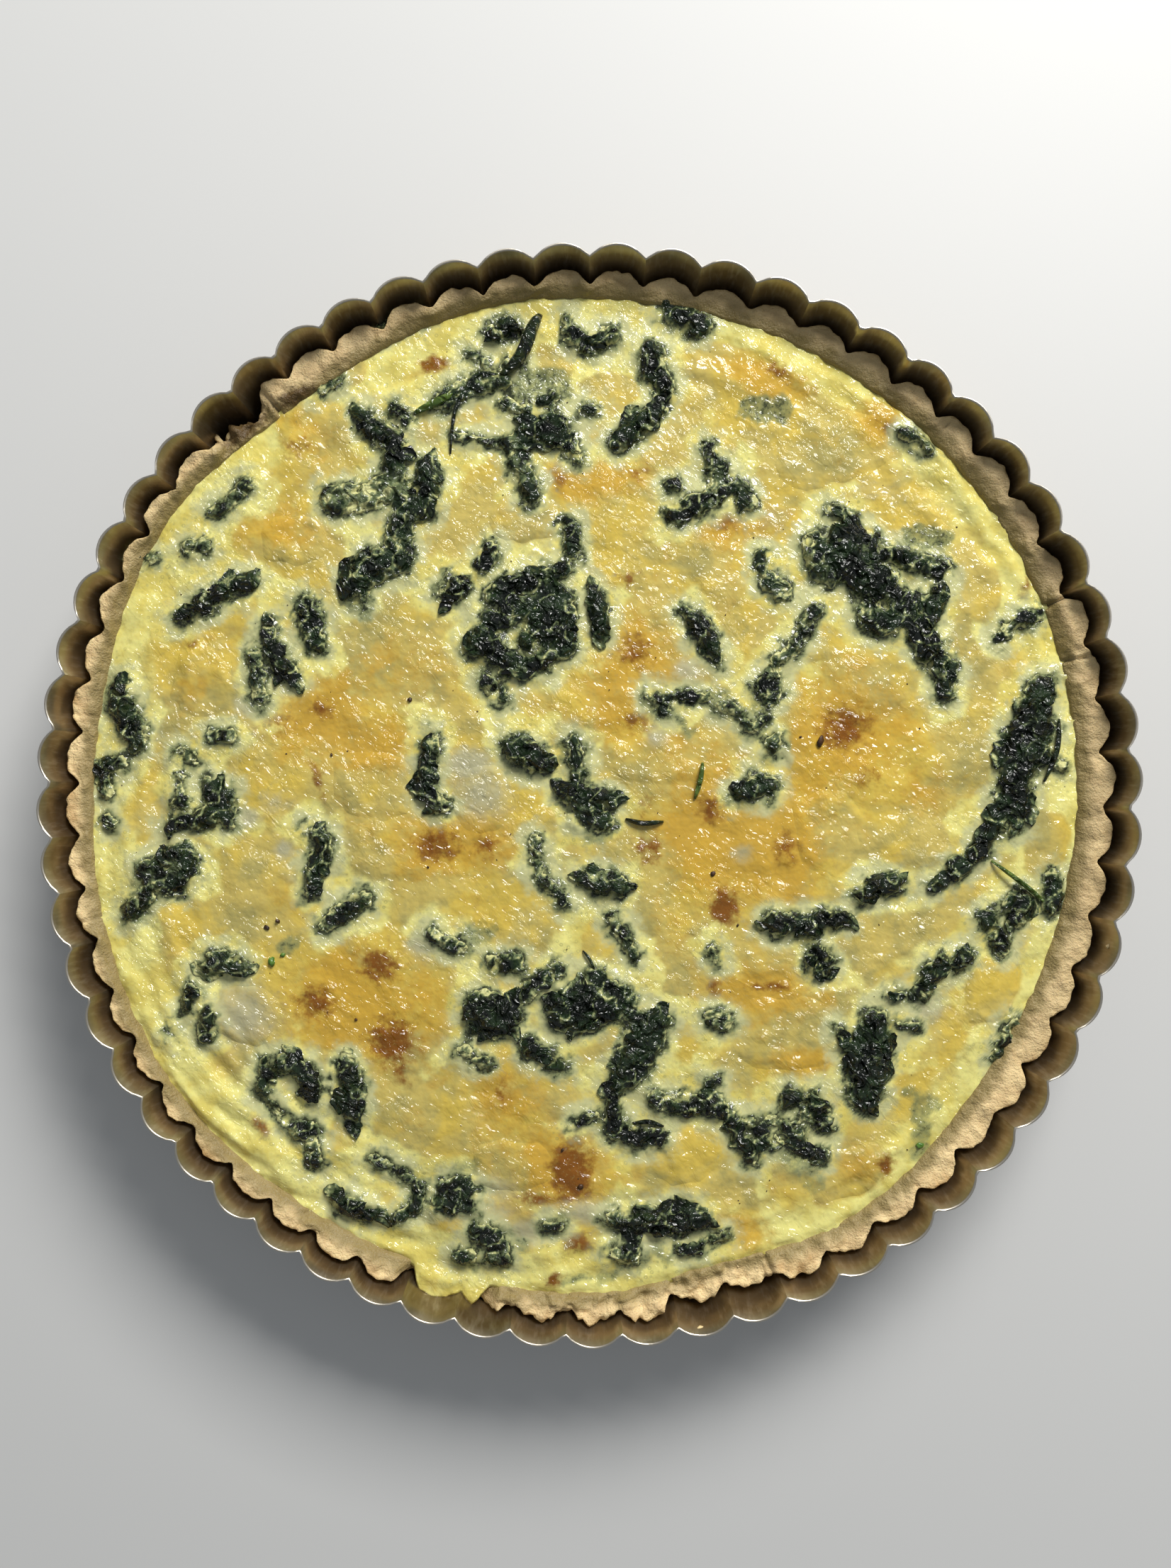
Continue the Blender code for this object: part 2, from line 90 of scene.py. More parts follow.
class Grain:
    """Smooth seeded noise over the plane, about -1 to 1."""

    CELLS = 256

    def __init__(self, seed: int) -> None:
        """Draw the lattice of slopes for a seed."""
        turns = np.random.default_rng(seed).uniform(0.0, math.tau, (self.CELLS, self.CELLS))
        self.slope_x = np.cos(turns)
        self.slope_y = np.sin(turns)

    def _layer(self, x: np.ndarray, y: np.ndarray) -> np.ndarray:
        """One octave of gradient noise with unit cells."""
        cell_x, cell_y = np.floor(x).astype(int), np.floor(y).astype(int)
        part_x, part_y = x - cell_x, y - cell_y
        ease_x = part_x ** 3 * (part_x * (part_x * 6 - 15) + 10)
        ease_y = part_y ** 3 * (part_y * (part_y * 6 - 15) + 10)

        def corner(i: int, j: int) -> np.ndarray:
            """Share of one corner of the cell."""
            spot = ((cell_x + i) % self.CELLS, (cell_y + j) % self.CELLS)
            return self.slope_x[spot] * (part_x - i) + self.slope_y[spot] * (part_y - j)

        low = corner(0, 0) + ease_x * (corner(1, 0) - corner(0, 0))
        high = corner(0, 1) + ease_x * (corner(1, 1) - corner(0, 1))
        return 1.6 * (low + ease_y * (high - low))

    def at(self, x: np.ndarray, y: np.ndarray, size: float, octaves: int = 1,
           stretch: float = 1.0, turn: float = 0.0) -> np.ndarray:
        """Noise at places in mm.

        Args:
            x, y: places in mm.
            size: wavelength in mm.
            octaves: how many layers, each half as wide as the last.
            stretch: how much longer the pattern is along its heading.
            turn: heading of the pattern in degrees.

        Returns:
            Values of about -1 to 1.
        """
        angle = math.radians(turn)
        along = (x * math.cos(angle) + y * math.sin(angle)) / (size * stretch)
        across = (y * math.cos(angle) - x * math.sin(angle)) / size
        total = np.zeros_like(along)
        for octave in range(octaves):
            scale = 2.0 ** octave
            total += self._layer(along * scale + 17.3 * octave, across * scale + 5.1 * octave) / scale
        return total


def ease(value: np.ndarray, low: float, high: float) -> np.ndarray:
    """Smooth step from 0 at low to 1 at high; low may be the larger."""
    share = np.clip((value - low) / (high - low), 0.0, 1.0)
    return share * share * (3.0 - 2.0 * share)


def solid_tree(name: str) -> BVHTree:
    """Search tree of a node's solid."""
    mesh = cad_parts[name].data
    return BVHTree.FromPolygons([v.co for v in mesh.vertices], [p.vertices for p in mesh.polygons])


def finish_piece(name: str, builder: bmesh.types.BMesh, material: bpy.types.Material,
                 nodes: tuple = (), masks: Callable | None = None, sharp: float = 180.0) -> bpy.types.Object:
    """Turn a bmesh into a shown piece that rides with the quiche.

    Args:
        name: the piece's name.
        builder: the finished bmesh, which is freed.
        material: its finish.
        nodes: solids that the piece stands for.
        masks: gives point attributes by name from the points' places in mm.
        sharp: edges steeper than this many degrees stay sharp.

    Returns:
        The new object.
    """
    bmesh.ops.recalc_face_normals(builder, faces=builder.faces)
    mesh = bpy.data.meshes.new(name)
    builder.to_mesh(mesh)
    builder.free()
    mesh.shade_smooth()
    if sharp < 180.0:
        mesh.set_sharp_from_angle(angle=math.radians(sharp))
    if masks:
        places = np.empty(len(mesh.vertices) * 3)
        mesh.vertices.foreach_get("co", places)
        for key, values in masks(*(places.reshape(-1, 3).T / MM)).items():
            layer = mesh.attributes.new(key, "FLOAT", "POINT")
            layer.data.foreach_set("value", np.asarray(values, dtype=np.float32))
    mesh.materials.append(material)
    piece = bpy.data.objects.new(name, mesh)
    bpy.context.scene.collection.objects.link(piece)
    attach(piece, "root")
    if nodes:
        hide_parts(*nodes)
    log.info("%s: %d faces", name, len(mesh.polygons))
    return piece


# --- Finishes -------------------------------------------------------------------

Socket = bpy.types.NodeSocket
Colour = tuple[float, float, float]


class Bench:
    """A material's node tree, with a short call for each kind of node used here."""

    def __init__(self, name: str) -> None:
        """Start a material with its shader."""
        self.material = bpy.data.materials.new(name)
        self.material.use_nodes = True
        self.nodes = self.material.node_tree.nodes
        self.links = self.material.node_tree.links
        self.shader = self.nodes["Principled BSDF"]
        self.place = self.nodes.new("ShaderNodeTexCoord").outputs["Object"]

    def _feed(self, socket: Socket, value: Socket | float | Colour) -> None:
        """Link a socket, or set its own value."""
        if isinstance(value, bpy.types.NodeSocket):
            self.links.new(value, socket)
        elif isinstance(value, tuple):
            socket.default_value = (*value, 1.0) if socket.type == "RGBA" else value
        else:
            socket.default_value = value

    def stretched(self, turn: float, stretch: float) -> Socket:
        """Object coordinates turned by degrees about Z and squeezed along that heading."""
        mapping = self.nodes.new("ShaderNodeMapping")
        mapping.vector_type = "TEXTURE"
        self.links.new(self.place, mapping.inputs["Vector"])
        mapping.inputs["Rotation"].default_value = (0.0, 0.0, math.radians(turn))
        mapping.inputs["Scale"].default_value = (stretch, 1.0, 1.0)
        return mapping.outputs["Vector"]

    def noise(self, size: float, detail: float = 2.0, rough: float = 0.5, warp: float = 0.0,
              place: Socket | None = None) -> Socket:
        """Noise of 0 to 1 with a wavelength of size mm."""
        node = self.nodes.new("ShaderNodeTexNoise")
        self.links.new(place or self.place, node.inputs["Vector"])
        node.inputs["Scale"].default_value = 1.0 / (size * MM)
        node.inputs["Detail"].default_value = detail
        node.inputs["Roughness"].default_value = rough
        node.inputs["Distortion"].default_value = warp
        return node.outputs["Fac"]

    def cells(self, size: float, place: Socket | None = None) -> Socket:
        """Distance to the nearest of scattered points size mm apart."""
        node = self.nodes.new("ShaderNodeTexVoronoi")
        self.links.new(place or self.place, node.inputs["Vector"])
        node.inputs["Scale"].default_value = 1.0 / (size * MM)
        return node.outputs["Distance"]

    def mask(self, name: str) -> Socket:
        """A point attribute of the piece."""
        node = self.nodes.new("ShaderNodeAttribute")
        node.attribute_name = name
        return node.outputs["Fac"]

    def span(self, value: Socket, low: float, high: float, start: float = 0.0, end: float = 1.0) -> Socket:
        """Map low..high to start..end with soft ends."""
        node = self.nodes.new("ShaderNodeMapRange")
        node.interpolation_type = "SMOOTHSTEP"
        self._feed(node.inputs["Value"], value)
        node.inputs["From Min"].default_value = low
        node.inputs["From Max"].default_value = high
        node.inputs["To Min"].default_value = start
        node.inputs["To Max"].default_value = end
        return node.outputs["Result"]

    def math(self, operation: str, first: Socket | float, second: Socket | float = 0.0) -> Socket:
        """One arithmetic step."""
        node = self.nodes.new("ShaderNodeMath")
        node.operation = operation
        self._feed(node.inputs[0], first)
        self._feed(node.inputs[1], second)
        return node.outputs[0]

    def mix(self, amount: Socket | float, first: Socket | Colour, second: Socket | Colour,
            blend: str = "MIX") -> Socket:
        """Blend two colours."""
        node = self.nodes.new("ShaderNodeMix")
        node.data_type = "RGBA"
        node.blend_type = blend
        self._feed(node.inputs["Factor"], amount)
        self._feed(node.inputs[6], first)
        self._feed(node.inputs[7], second)
        return node.outputs[2]

    def bump(self, height: Socket, depth: float, strength: float = 1.0, under: Socket | None = None) -> Socket:
        """A bump whose height of 0 to 1 is depth mm, over an earlier one."""
        node = self.nodes.new("ShaderNodeBump")
        node.inputs["Strength"].default_value = strength
        node.inputs["Distance"].default_value = depth * MM
        self.links.new(height, node.inputs["Height"])
        if under:
            self.links.new(under, node.inputs["Normal"])
        return node.outputs["Normal"]

    def finish(self, sockets: dict) -> bpy.types.Material:
        """Feed the shader's sockets by name and return the material."""
        for name, value in sockets.items():
            self._feed(self.shader.inputs[name], value)
        return self.material


@dataclass(frozen=True)
class TopFinish:
    """Baked top, by masks: pale custard, melted cheese, amber and toasted places, milky film."""

    name: str
    pale: Colour = (0.82, 0.76, 0.255)
    deep: Colour = (0.72, 0.61, 0.145)
    melted: Colour = (0.60, 0.475, 0.125)
    melted_dull: Colour = (0.42, 0.36, 0.115)
    melted_warm: Colour = (0.68, 0.50, 0.080)
    amber: Colour = (0.60, 0.355, 0.035)
    brown: Colour = (0.21, 0.068, 0.003)
    milky: Colour = (0.46, 0.44, 0.27)
    haze: Colour = (0.58, 0.58, 0.30)
    leaf_film: Colour = (0.20, 0.235, 0.105)
    leaf_dark: Colour = (0.014, 0.020, 0.008)
    roughness: float = 0.55

    def material(self) -> bpy.types.Material:
        """The finish as a material."""
        bench = Bench(self.name)
        broad, fine, speck = bench.noise(9.0, 4, 0.6), bench.noise(2.0, 4, 0.6), bench.noise(0.7, 3, 0.6)
        wobble = bench.math("SUBTRACT", fine, 0.5)

        def worn(name: str, amount: float) -> Socket:
            """A mask whose edge is broken up by the fine noise."""
            return bench.math("ADD", bench.mask(name), bench.math("MULTIPLY", wobble, amount))

        custard = bench.mix(bench.span(broad, 0.42, 0.62), self.pale, self.deep)
        cheese = bench.mix(bench.span(broad, 0.36, 0.56), self.melted_dull, self.melted)
        warm = bench.noise(14.0, 3, 0.6, 0.4)
        cheese = bench.mix(bench.span(warm, 0.44, 0.62, 0.0, 0.9), cheese, self.melted_warm)
        cheese = bench.mix(bench.span(fine, 0.52, 0.74, 0.0, 0.40), cheese, self.melted_dull)
        skin = bench.mix(bench.span(worn("cheese", 0.9), 0.10, 0.90), custard, cheese)
        skin = bench.mix(bench.span(worn("amber", 1.1), 0.15, 0.90, 0.0, 0.85), skin, self.amber)
        skin = bench.mix(bench.span(worn("toast", 1.5), 0.30, 1.05, 0.0, 0.97), skin, self.brown)
        skin = bench.mix(bench.span(worn("milky", 0.6), 0.2, 0.9, 0.0, 0.9), skin, self.milky)
        skin = bench.mix(bench.span(speck, 0.56, 0.74, 0.0, 0.32), skin, self.melted_dull)
        rings = bench.cells(1.5)
        rings = bench.math("MULTIPLY", bench.span(rings, 0.10, 0.20), bench.span(rings, 0.34, 0.24))
        rings = bench.math("MULTIPLY", rings, bench.mask("pores"))
        skin = bench.mix(bench.math("MULTIPLY", rings, 0.40), skin, self.leaf_film)
        misty = bench.math("ADD", bench.mask("haze"), bench.math("MULTIPLY", wobble, 1.3))
        skin = bench.mix(bench.span(misty, 0.15, 0.85, 0.0, 0.85), skin, self.haze)
        leafy = worn("shade", 0.9)
        skin = bench.mix(bench.span(leafy, 0.10, 0.80, 0.0, 0.85), skin, self.leaf_film)
        gritty = bench.math("ADD", leafy, bench.math("MULTIPLY", bench.math("SUBTRACT", speck, 0.5), 0.9))
        skin = bench.mix(bench.span(gritty, 0.62, 1.0, 0.0, 0.92), skin, self.leaf_dark)
        dashes = bench.noise(1.7, 2, 0.5, 0.7, bench.stretched(-42.0, 1.7))
        wet = bench.span(bench.noise(8.0, 2), 0.36, 0.56, 0.35, 1.0)
        wet = bench.math("MULTIPLY", wet, bench.span(bench.mask("crinkle"), 0.0, 1.0, 0.55, 1.0))
        swell = bench.math("MULTIPLY", dashes, wet)
        soft = bench.bump(bench.noise(3.6, 2), 0.5)
        return bench.finish({
            "Base Color": skin,
            "Roughness": self.roughness,
            "Subsurface Weight": 0.10,
            "Subsurface Radius": (1.0, 0.7, 0.25),
            "Subsurface Scale": 1.0 * MM,
            "Specular IOR Level": 0.05,
            "Coat Weight": 1.0,
            "Coat Roughness": 0.10,
            "Coat Normal": bench.bump(swell, 2.3, 1.0, soft),
            "Normal": bench.bump(swell, 0.22, 1.0, soft),
        })


@dataclass(frozen=True)
class LeafFinish:
    """Cooked spinach: wet, near black, creased, with custard film on its low parts."""

    name: str
    dark: Colour = (0.003, 0.005, 0.003)
    green: Colour = (0.014, 0.028, 0.010)
    film: Colour = (0.15, 0.19, 0.085)
    custard: Colour = (0.62, 0.61, 0.27)
    crease: float = 2.6

    def material(self) -> bpy.types.Material:
        """The finish as a material."""
        bench = Bench(self.name)
        fine = bench.math("SUBTRACT", bench.noise(1.6, 4, 0.65), 0.5)
        leaf = bench.mix(bench.span(bench.noise(4.0, 3), 0.4, 0.65), self.dark, self.green)
        cover = bench.math("ADD", bench.mask("film"), bench.math("MULTIPLY", fine, 1.1))
        skin = bench.mix(bench.span(cover, 0.25, 0.62, 0.0, 0.9), leaf, self.film)
        skin = bench.mix(bench.span(cover, 0.55, 0.90, 0.0, 0.95), skin, self.custard)
        creases = bench.noise(self.crease, 1.5, 0.45, 1.2, bench.stretched(-35.0, 1.4))
        return bench.finish({
            "Base Color": skin,
            "Roughness": 0.6,
            "Specular IOR Level": 0.05,
            "Coat Weight": 1.0,
            "Coat Roughness": 0.17,
            "Coat Normal": bench.bump(creases, 4.6),
            "Normal": bench.bump(creases, 1.6),
        })


@dataclass(frozen=True)
class PastryFinish:
    """Shortcrust: sandy and pale, toasted on its crests, greasy beside the custard, with painted shade on the
    side toward the key light.
    """

    name: str
    sandy: Colour = (0.93, 0.71, 0.37)
    dull: Colour = (0.72, 0.52, 0.26)
    toasted: Colour = (0.52, 0.29, 0.10)
    # painted shade: colour of the rim's side toward the key light, where its slopes face away from the light
    damp: Colour = (0.42, 0.31, 0.15)
    greasy: Colour = (0.20, 0.15, 0.045)
    # torn: dark brown of torn, greasy pastry, deepened with painted shade of the broken pocket
    torn: Colour = (0.09, 0.052, 0.016)

    def material(self) -> bpy.types.Material:
        """The finish as a material."""
        bench = Bench(self.name)
        broad, grit, sand = bench.noise(5.0, 4, 0.6), bench.noise(1.1, 4, 0.65), bench.noise(0.45, 2)
        skin = bench.mix(bench.span(broad, 0.42, 0.66), self.sandy, self.dull)
        skin = bench.mix(bench.span(grit, 0.52, 0.76, 0.0, 0.5), skin, self.dull)
        skin = bench.mix(bench.span(sand, 0.60, 0.76, 0.0, 0.3), skin, self.toasted)
        skin = bench.mix(bench.mask("toast"), skin, self.toasted)
        # painted shade darkens the rim's side toward the key light
        skin = bench.mix(bench.mask("damp"), skin, self.damp)
        skin = bench.mix(bench.mask("grease"), skin, self.greasy)
        # the broken pocket: torn pastry colour with painted shade, since the shape does not hollow it out
        ragged = bench.math("ADD", bench.mask("torn"), bench.math("SUBTRACT", grit, 0.5))
        skin = bench.mix(bench.span(ragged, 0.25, 0.85, 0.0, 0.95), skin, self.torn)
        relief = bench.bump(bench.noise(2.6, 3, 0.6), 0.40)
        relief = bench.bump(grit, 0.38, 1.0, relief)
        relief = bench.bump(sand, 0.20, 1.0, relief)
        return bench.finish({
            "Base Color": skin,
            "Roughness": bench.span(bench.mask("grease"), 0.0, 1.0, 0.50, 0.34),
            "Subsurface Weight": 0.10,
            "Subsurface Radius": (1.0, 0.6, 0.3),
            "Subsurface Scale": 1.0 * MM,
            "Specular IOR Level": 0.30,
            "Normal": relief,
        })


@dataclass(frozen=True)
class TinFinish:
    """Aged tinned steel: olive brown, drawn in the press, with a painted highlight along its cut rim."""

    name: str
    steel: Colour = (0.33, 0.27, 0.175)
    stained: Colour = (0.16, 0.11, 0.055)
    # bright: colour of the drawn streaks, and of the painted highlight on the rim
    bright: Colour = (0.62, 0.58, 0.50)

    def material(self) -> bpy.types.Material:
        """The finish as a material."""
        bench = Bench(self.name)
        patina = bench.noise(11.0, 4, 0.6)
        streak = bench.noise(0.9, 2, 0.5, 0.0, self._upright(bench))
        skin = bench.mix(bench.span(patina, 0.35, 0.68, 0.0, 0.8), self.steel, self.stained)
        skin = bench.mix(bench.span(streak, 0.45, 0.75, 0.0, 0.25), skin, self.bright)
        # painted highlight: the cut rim is mixed toward the bright colour
        skin = bench.mix(bench.mask("rim"), skin, self.bright)
        return bench.finish({
            "Base Color": skin,
            "Metallic": 0.92,
            "Roughness": bench.span(patina, 0.3, 0.7, 0.30, 0.44),
            "Normal": bench.bump(streak, 0.03),
        })

    def _upright(self, bench: Bench) -> Socket:
        """Coordinates squeezed in height, so that streaks run up the wall."""
        mapping = bench.nodes.new("ShaderNodeMapping")
        bench.links.new(bench.place, mapping.inputs["Vector"])
        mapping.inputs["Scale"].default_value = (1.0, 1.0, 0.06)
        return mapping.outputs["Vector"]


@dataclass(frozen=True)
class FleckFinish:
    """Small flecks: charred bits, pepper and bright green snippets, by colour."""

    name: str
    colour: Colour
    lighter: Colour
    roughness: float = 0.45

    def material(self) -> bpy.types.Material:
        """The finish as a material."""
        bench = Bench(self.name)
        return bench.finish({
            "Base Color": bench.mix(bench.span(bench.noise(1.5, 2), 0.35, 0.65), self.colour, self.lighter),
            "Roughness": self.roughness,
            "Normal": bench.bump(bench.noise(0.3, 2), 0.08),
        })


# --- What lies where on the top, in mm ------------------------------------------

@dataclass(frozen=True)
class Spot:
    """A soft oval place on the top: centre, half length, half width, heading in degrees, strength."""

    x: float
    y: float
    length: float
    width: float
    heading: float = 0.0
    strength: float = 1.0

    def reach(self, x: np.ndarray, y: np.ndarray, power: float = 2.0) -> np.ndarray:
        """How far out each place is: 0 at the centre, 1 at the oval's edge."""
        angle = math.radians(self.heading)
        along = (x - self.x) * math.cos(angle) + (y - self.y) * math.sin(angle)
        across = (y - self.y) * math.cos(angle) - (x - self.x) * math.sin(angle)
        return (np.abs(along / self.length) ** power + np.abs(across / self.width) ** power) ** (1 / power)

    def glow(self, x: np.ndarray, y: np.ndarray) -> np.ndarray:
        """Strength that fades softly from the centre."""
        return self.strength * np.exp(-0.9 * self.reach(x, y) ** 2)


MELTS = (
    Spot(-10, -66, 7, 7), Spot(-33, -72, 8, 7), Spot(-74, -20, 8, 6.5), Spot(-71, 5, 8, 8),
    Spot(-61, 82, 8.5, 6.5), Spot(5, 64, 10.5, 8), Spot(30, 96, 10, 4.5, -15), Spot(30, 50, 6, 7.5),
    Spot(81, 9, 10, 6.5), Spot(72, -10, 8, 6.5), Spot(47, 11, 4.5, 5.5), Spot(14, 8, 10.5, 5.5),
    Spot(4, 20, 9.5, 5), Spot(-14, -25, 8.5, 9), Spot(40, -37, 6, 3.5), Spot(102, -11, 5, 7.5),
    Spot(87, 45, 5, 6.5), Spot(-26, -93, 11, 4.5), Spot(-53, 95, 3, 3.5), Spot(20, 30, 9, 7),
    Spot(62, 25, 9, 8), Spot(40, -8, 8, 10), Spot(-45, -12, 9, 7), Spot(-25, -60, 7, 6),
)
TOASTS = (
    Spot(-61, -46, 5.5, 4.5), Spot(-47, -38, 5.5, 4.5), Spot(-44, -55, 6, 6, 0, 1.2),
    Spot(-42, -62, 3, 4, 0, 0.8), Spot(-4, -84, 5, 8, 0, 1.35), Spot(57, 15, 7, 6, 30, 1.05),
    Spot(43.5, -12, 4, 5, 0, 0.8), Spot(27, -3, 4, 5, 0, 0.9), Spot(30, -25, 3.5, 5, 0, 1.25),
    Spot(13, -12, 4, 4, 0, 0.9), Spot(-34, -11, 6, 4.5, 0, 1.05), Spot(-23, -11, 4, 3.5, 0, 0.85),
    Spot(40, -42.5, 7, 1.6, 0, 0.9), Spot(28, -43, 2, 3.5, 0, 1.0), Spot(-7, 71, 4, 3.5, 0, 0.85),
    Spot(10.5, 72, 3.5, 2.5, 0, 0.7), Spot(-34.5, 96, 4, 2.5, 0, 1.2), Spot(31, 61, 5, 3, 0, 0.9),
    Spot(42, 94.5, 3.5, 2, -20, 0.8), Spot(67, 81, 4.5, 3, -30, 0.8), Spot(-64.5, 78, 5, 3.5, 0, 0.55),
    Spot(10, 32, 6, 5, 0, 0.8), Spot(9, 48, 4, 3, 0, 0.7), Spot(11, 17, 5, 3.5, 0, 0.8),
    Spot(12.5, -2, 2, 3, 0, 0.8), Spot(-59.5, 19, 3, 3, 0, 0.9), Spot(-70, 16, 6, 4, 0, 0.6),
    Spot(-60.5, 3.5, 1.6, 5, 20, 0.8), Spot(-19.5, -66, 2.5, 5, 0, 0.75), Spot(-3, -99.5, 4.5, 2.8, -20, 1.15),
    Spot(-7, -107, 2.5, 1.5, 0, 0.8), Spot(66, -82, 2.5, 4, 0, 0.9), Spot(97, 46, 2, 4, -25, 0.8),
    Spot(-12, -90, 6, 2.2, 0, 0.9), Spot(-73, -73.5, 1.6, 4, 45, 1.0), Spot(-8.2, -108, 2, 1.6, 0, 1.2),
    Spot(-89, 53.5, 1.6, 1.6, 0, 0.8), Spot(-88.5, 34, 1.8, 1.6, 0, 0.8), Spot(62, 4, 4, 3, 0, 0.7),
)
AMBERS = (
    Spot(57, 14, 14, 13), Spot(42, -13, 10, 16), Spot(25, -8, 9, 15), Spot(10, 26, 12, 15),
    Spot(-30, -10, 15, 8), Spot(-62, 18, 11, 8), Spot(-46, 10, 10, 6, 0, 0.8), Spot(-52, -48, 16, 14),
    Spot(-5, -83, 10, 12), Spot(38, -44, 14, 6), Spot(47, -60, 9, 4, 0, 0.9), Spot(0, 71, 16, 5),
    Spot(38, 93, 10, 4, -20), Spot(66, 82, 8, 5, -30), Spot(-66, 60, 12, 6, 0, 0.55),
    Spot(33, 60, 9, 5), Spot(35, -98, 6, 4, 0, 0.9), Spot(-21, -66, 6, 10, 0, 0.8),
    Spot(-38, 28, 14, 8, 0, 0.45), Spot(75, -1, 6, 4, 0, 0.6), Spot(-87, 28, 6, 8, 0, 0.4),
    Spot(-66, -22, 7, 5, 0, 0.5), Spot(60, -82, 8, 5, 0, 0.7), Spot(-62, 80, 7, 5, 0, 0.6),
)
MILKS = (
    Spot(-37, -33, 4, 3, 0, 1.2), Spot(-38, 7, 2.5, 2.5), Spot(-27, 7, 6, 4, 0, 1.1), Spot(-24, 0, 8, 7, 0, 0.8),
    Spot(22, 28, 3.5, 3), Spot(15, 13, 3, 3, 0, 0.8), Spot(-77, -5, 4, 3), Spot(-68, -12, 2.5, 2.5),
    Spot(-76, 20, 3.5, 3), Spot(75, -47, 5, 4), Spot(-77, -49, 9, 8, 0, 0.85), Spot(-26, -93, 12, 4, 0, 0.75),
    Spot(34, -13, 3, 3, 0, 0.7), Spot(-82, 13, 3, 3, 0, 0.8), Spot(-70, -2, 5, 4, 0, 0.6),
    Spot(64, 68, 9, 4, 0, 0.5), Spot(0, -93, 9, 3.5, 0, 0.9), Spot(-14, -97.5, 7, 4, 0, 0.9),
    Spot(11, -101, 5, 3.5, 0, 0.8), Spot(-22, -88, 8, 4, 0, 0.7), Spot(40, 62, 6, 4, 0, 0.5),
)


@dataclass(frozen=True)
class Fold:
    """A soft ridge, or with a negative height a groove, in the custard's skin."""

    width: float
    height: float
    points: tuple


FOLDS = (
    Fold(2.2, 0.55, ((-101, -42), (-96, -52), (-88, -62), (-80, -70))),
    Fold(1.8, -0.5, ((-97, -38), (-91, -50), (-84, -60), (-75, -67), (-64, -74))),
    Fold(2.0, 0.5, ((-92, -64), (-80, -76), (-66, -84), (-52, -92))),
    Fold(1.6, -0.45, ((-60, -76), (-50, -80), (-40, -84))),
    Fold(2.6, 0.5, ((28, 103), (42, 98), (54, 92), (66, 84))),
    Fold(2.4, 0.6, ((64, 84), (78, 74), (88, 62), (97, 46))),
    Fold(1.6, -0.4, ((70, 72), (80, 64), (88, 54))),
    Fold(2.0, 0.4, ((-100, 20), (-102, 0), (-101, -18))),
    Fold(2.4, 0.5, ((-96, 34), (-88, 50), (-76, 66), (-66, 74))),
    Fold(1.6, -0.35, ((-40, -99), (-26, -101), (-12, -98))),
    Fold(1.8, 0.4, ((62, -84), (74, -74), (84, -60))),
    Fold(1.2, -0.35, ((42.3, -47), (42.0, -52), (41.7, -56))),
    Fold(1.6, 0.45, ((14, -66), (22, -88), (30, -97))),
)


@dataclass(frozen=True)
class Scrap:
    """A small torn piece of leaf or stem: width, custard film over it from 0 to 1, spine."""

    width: float
    film: float
    points: tuple


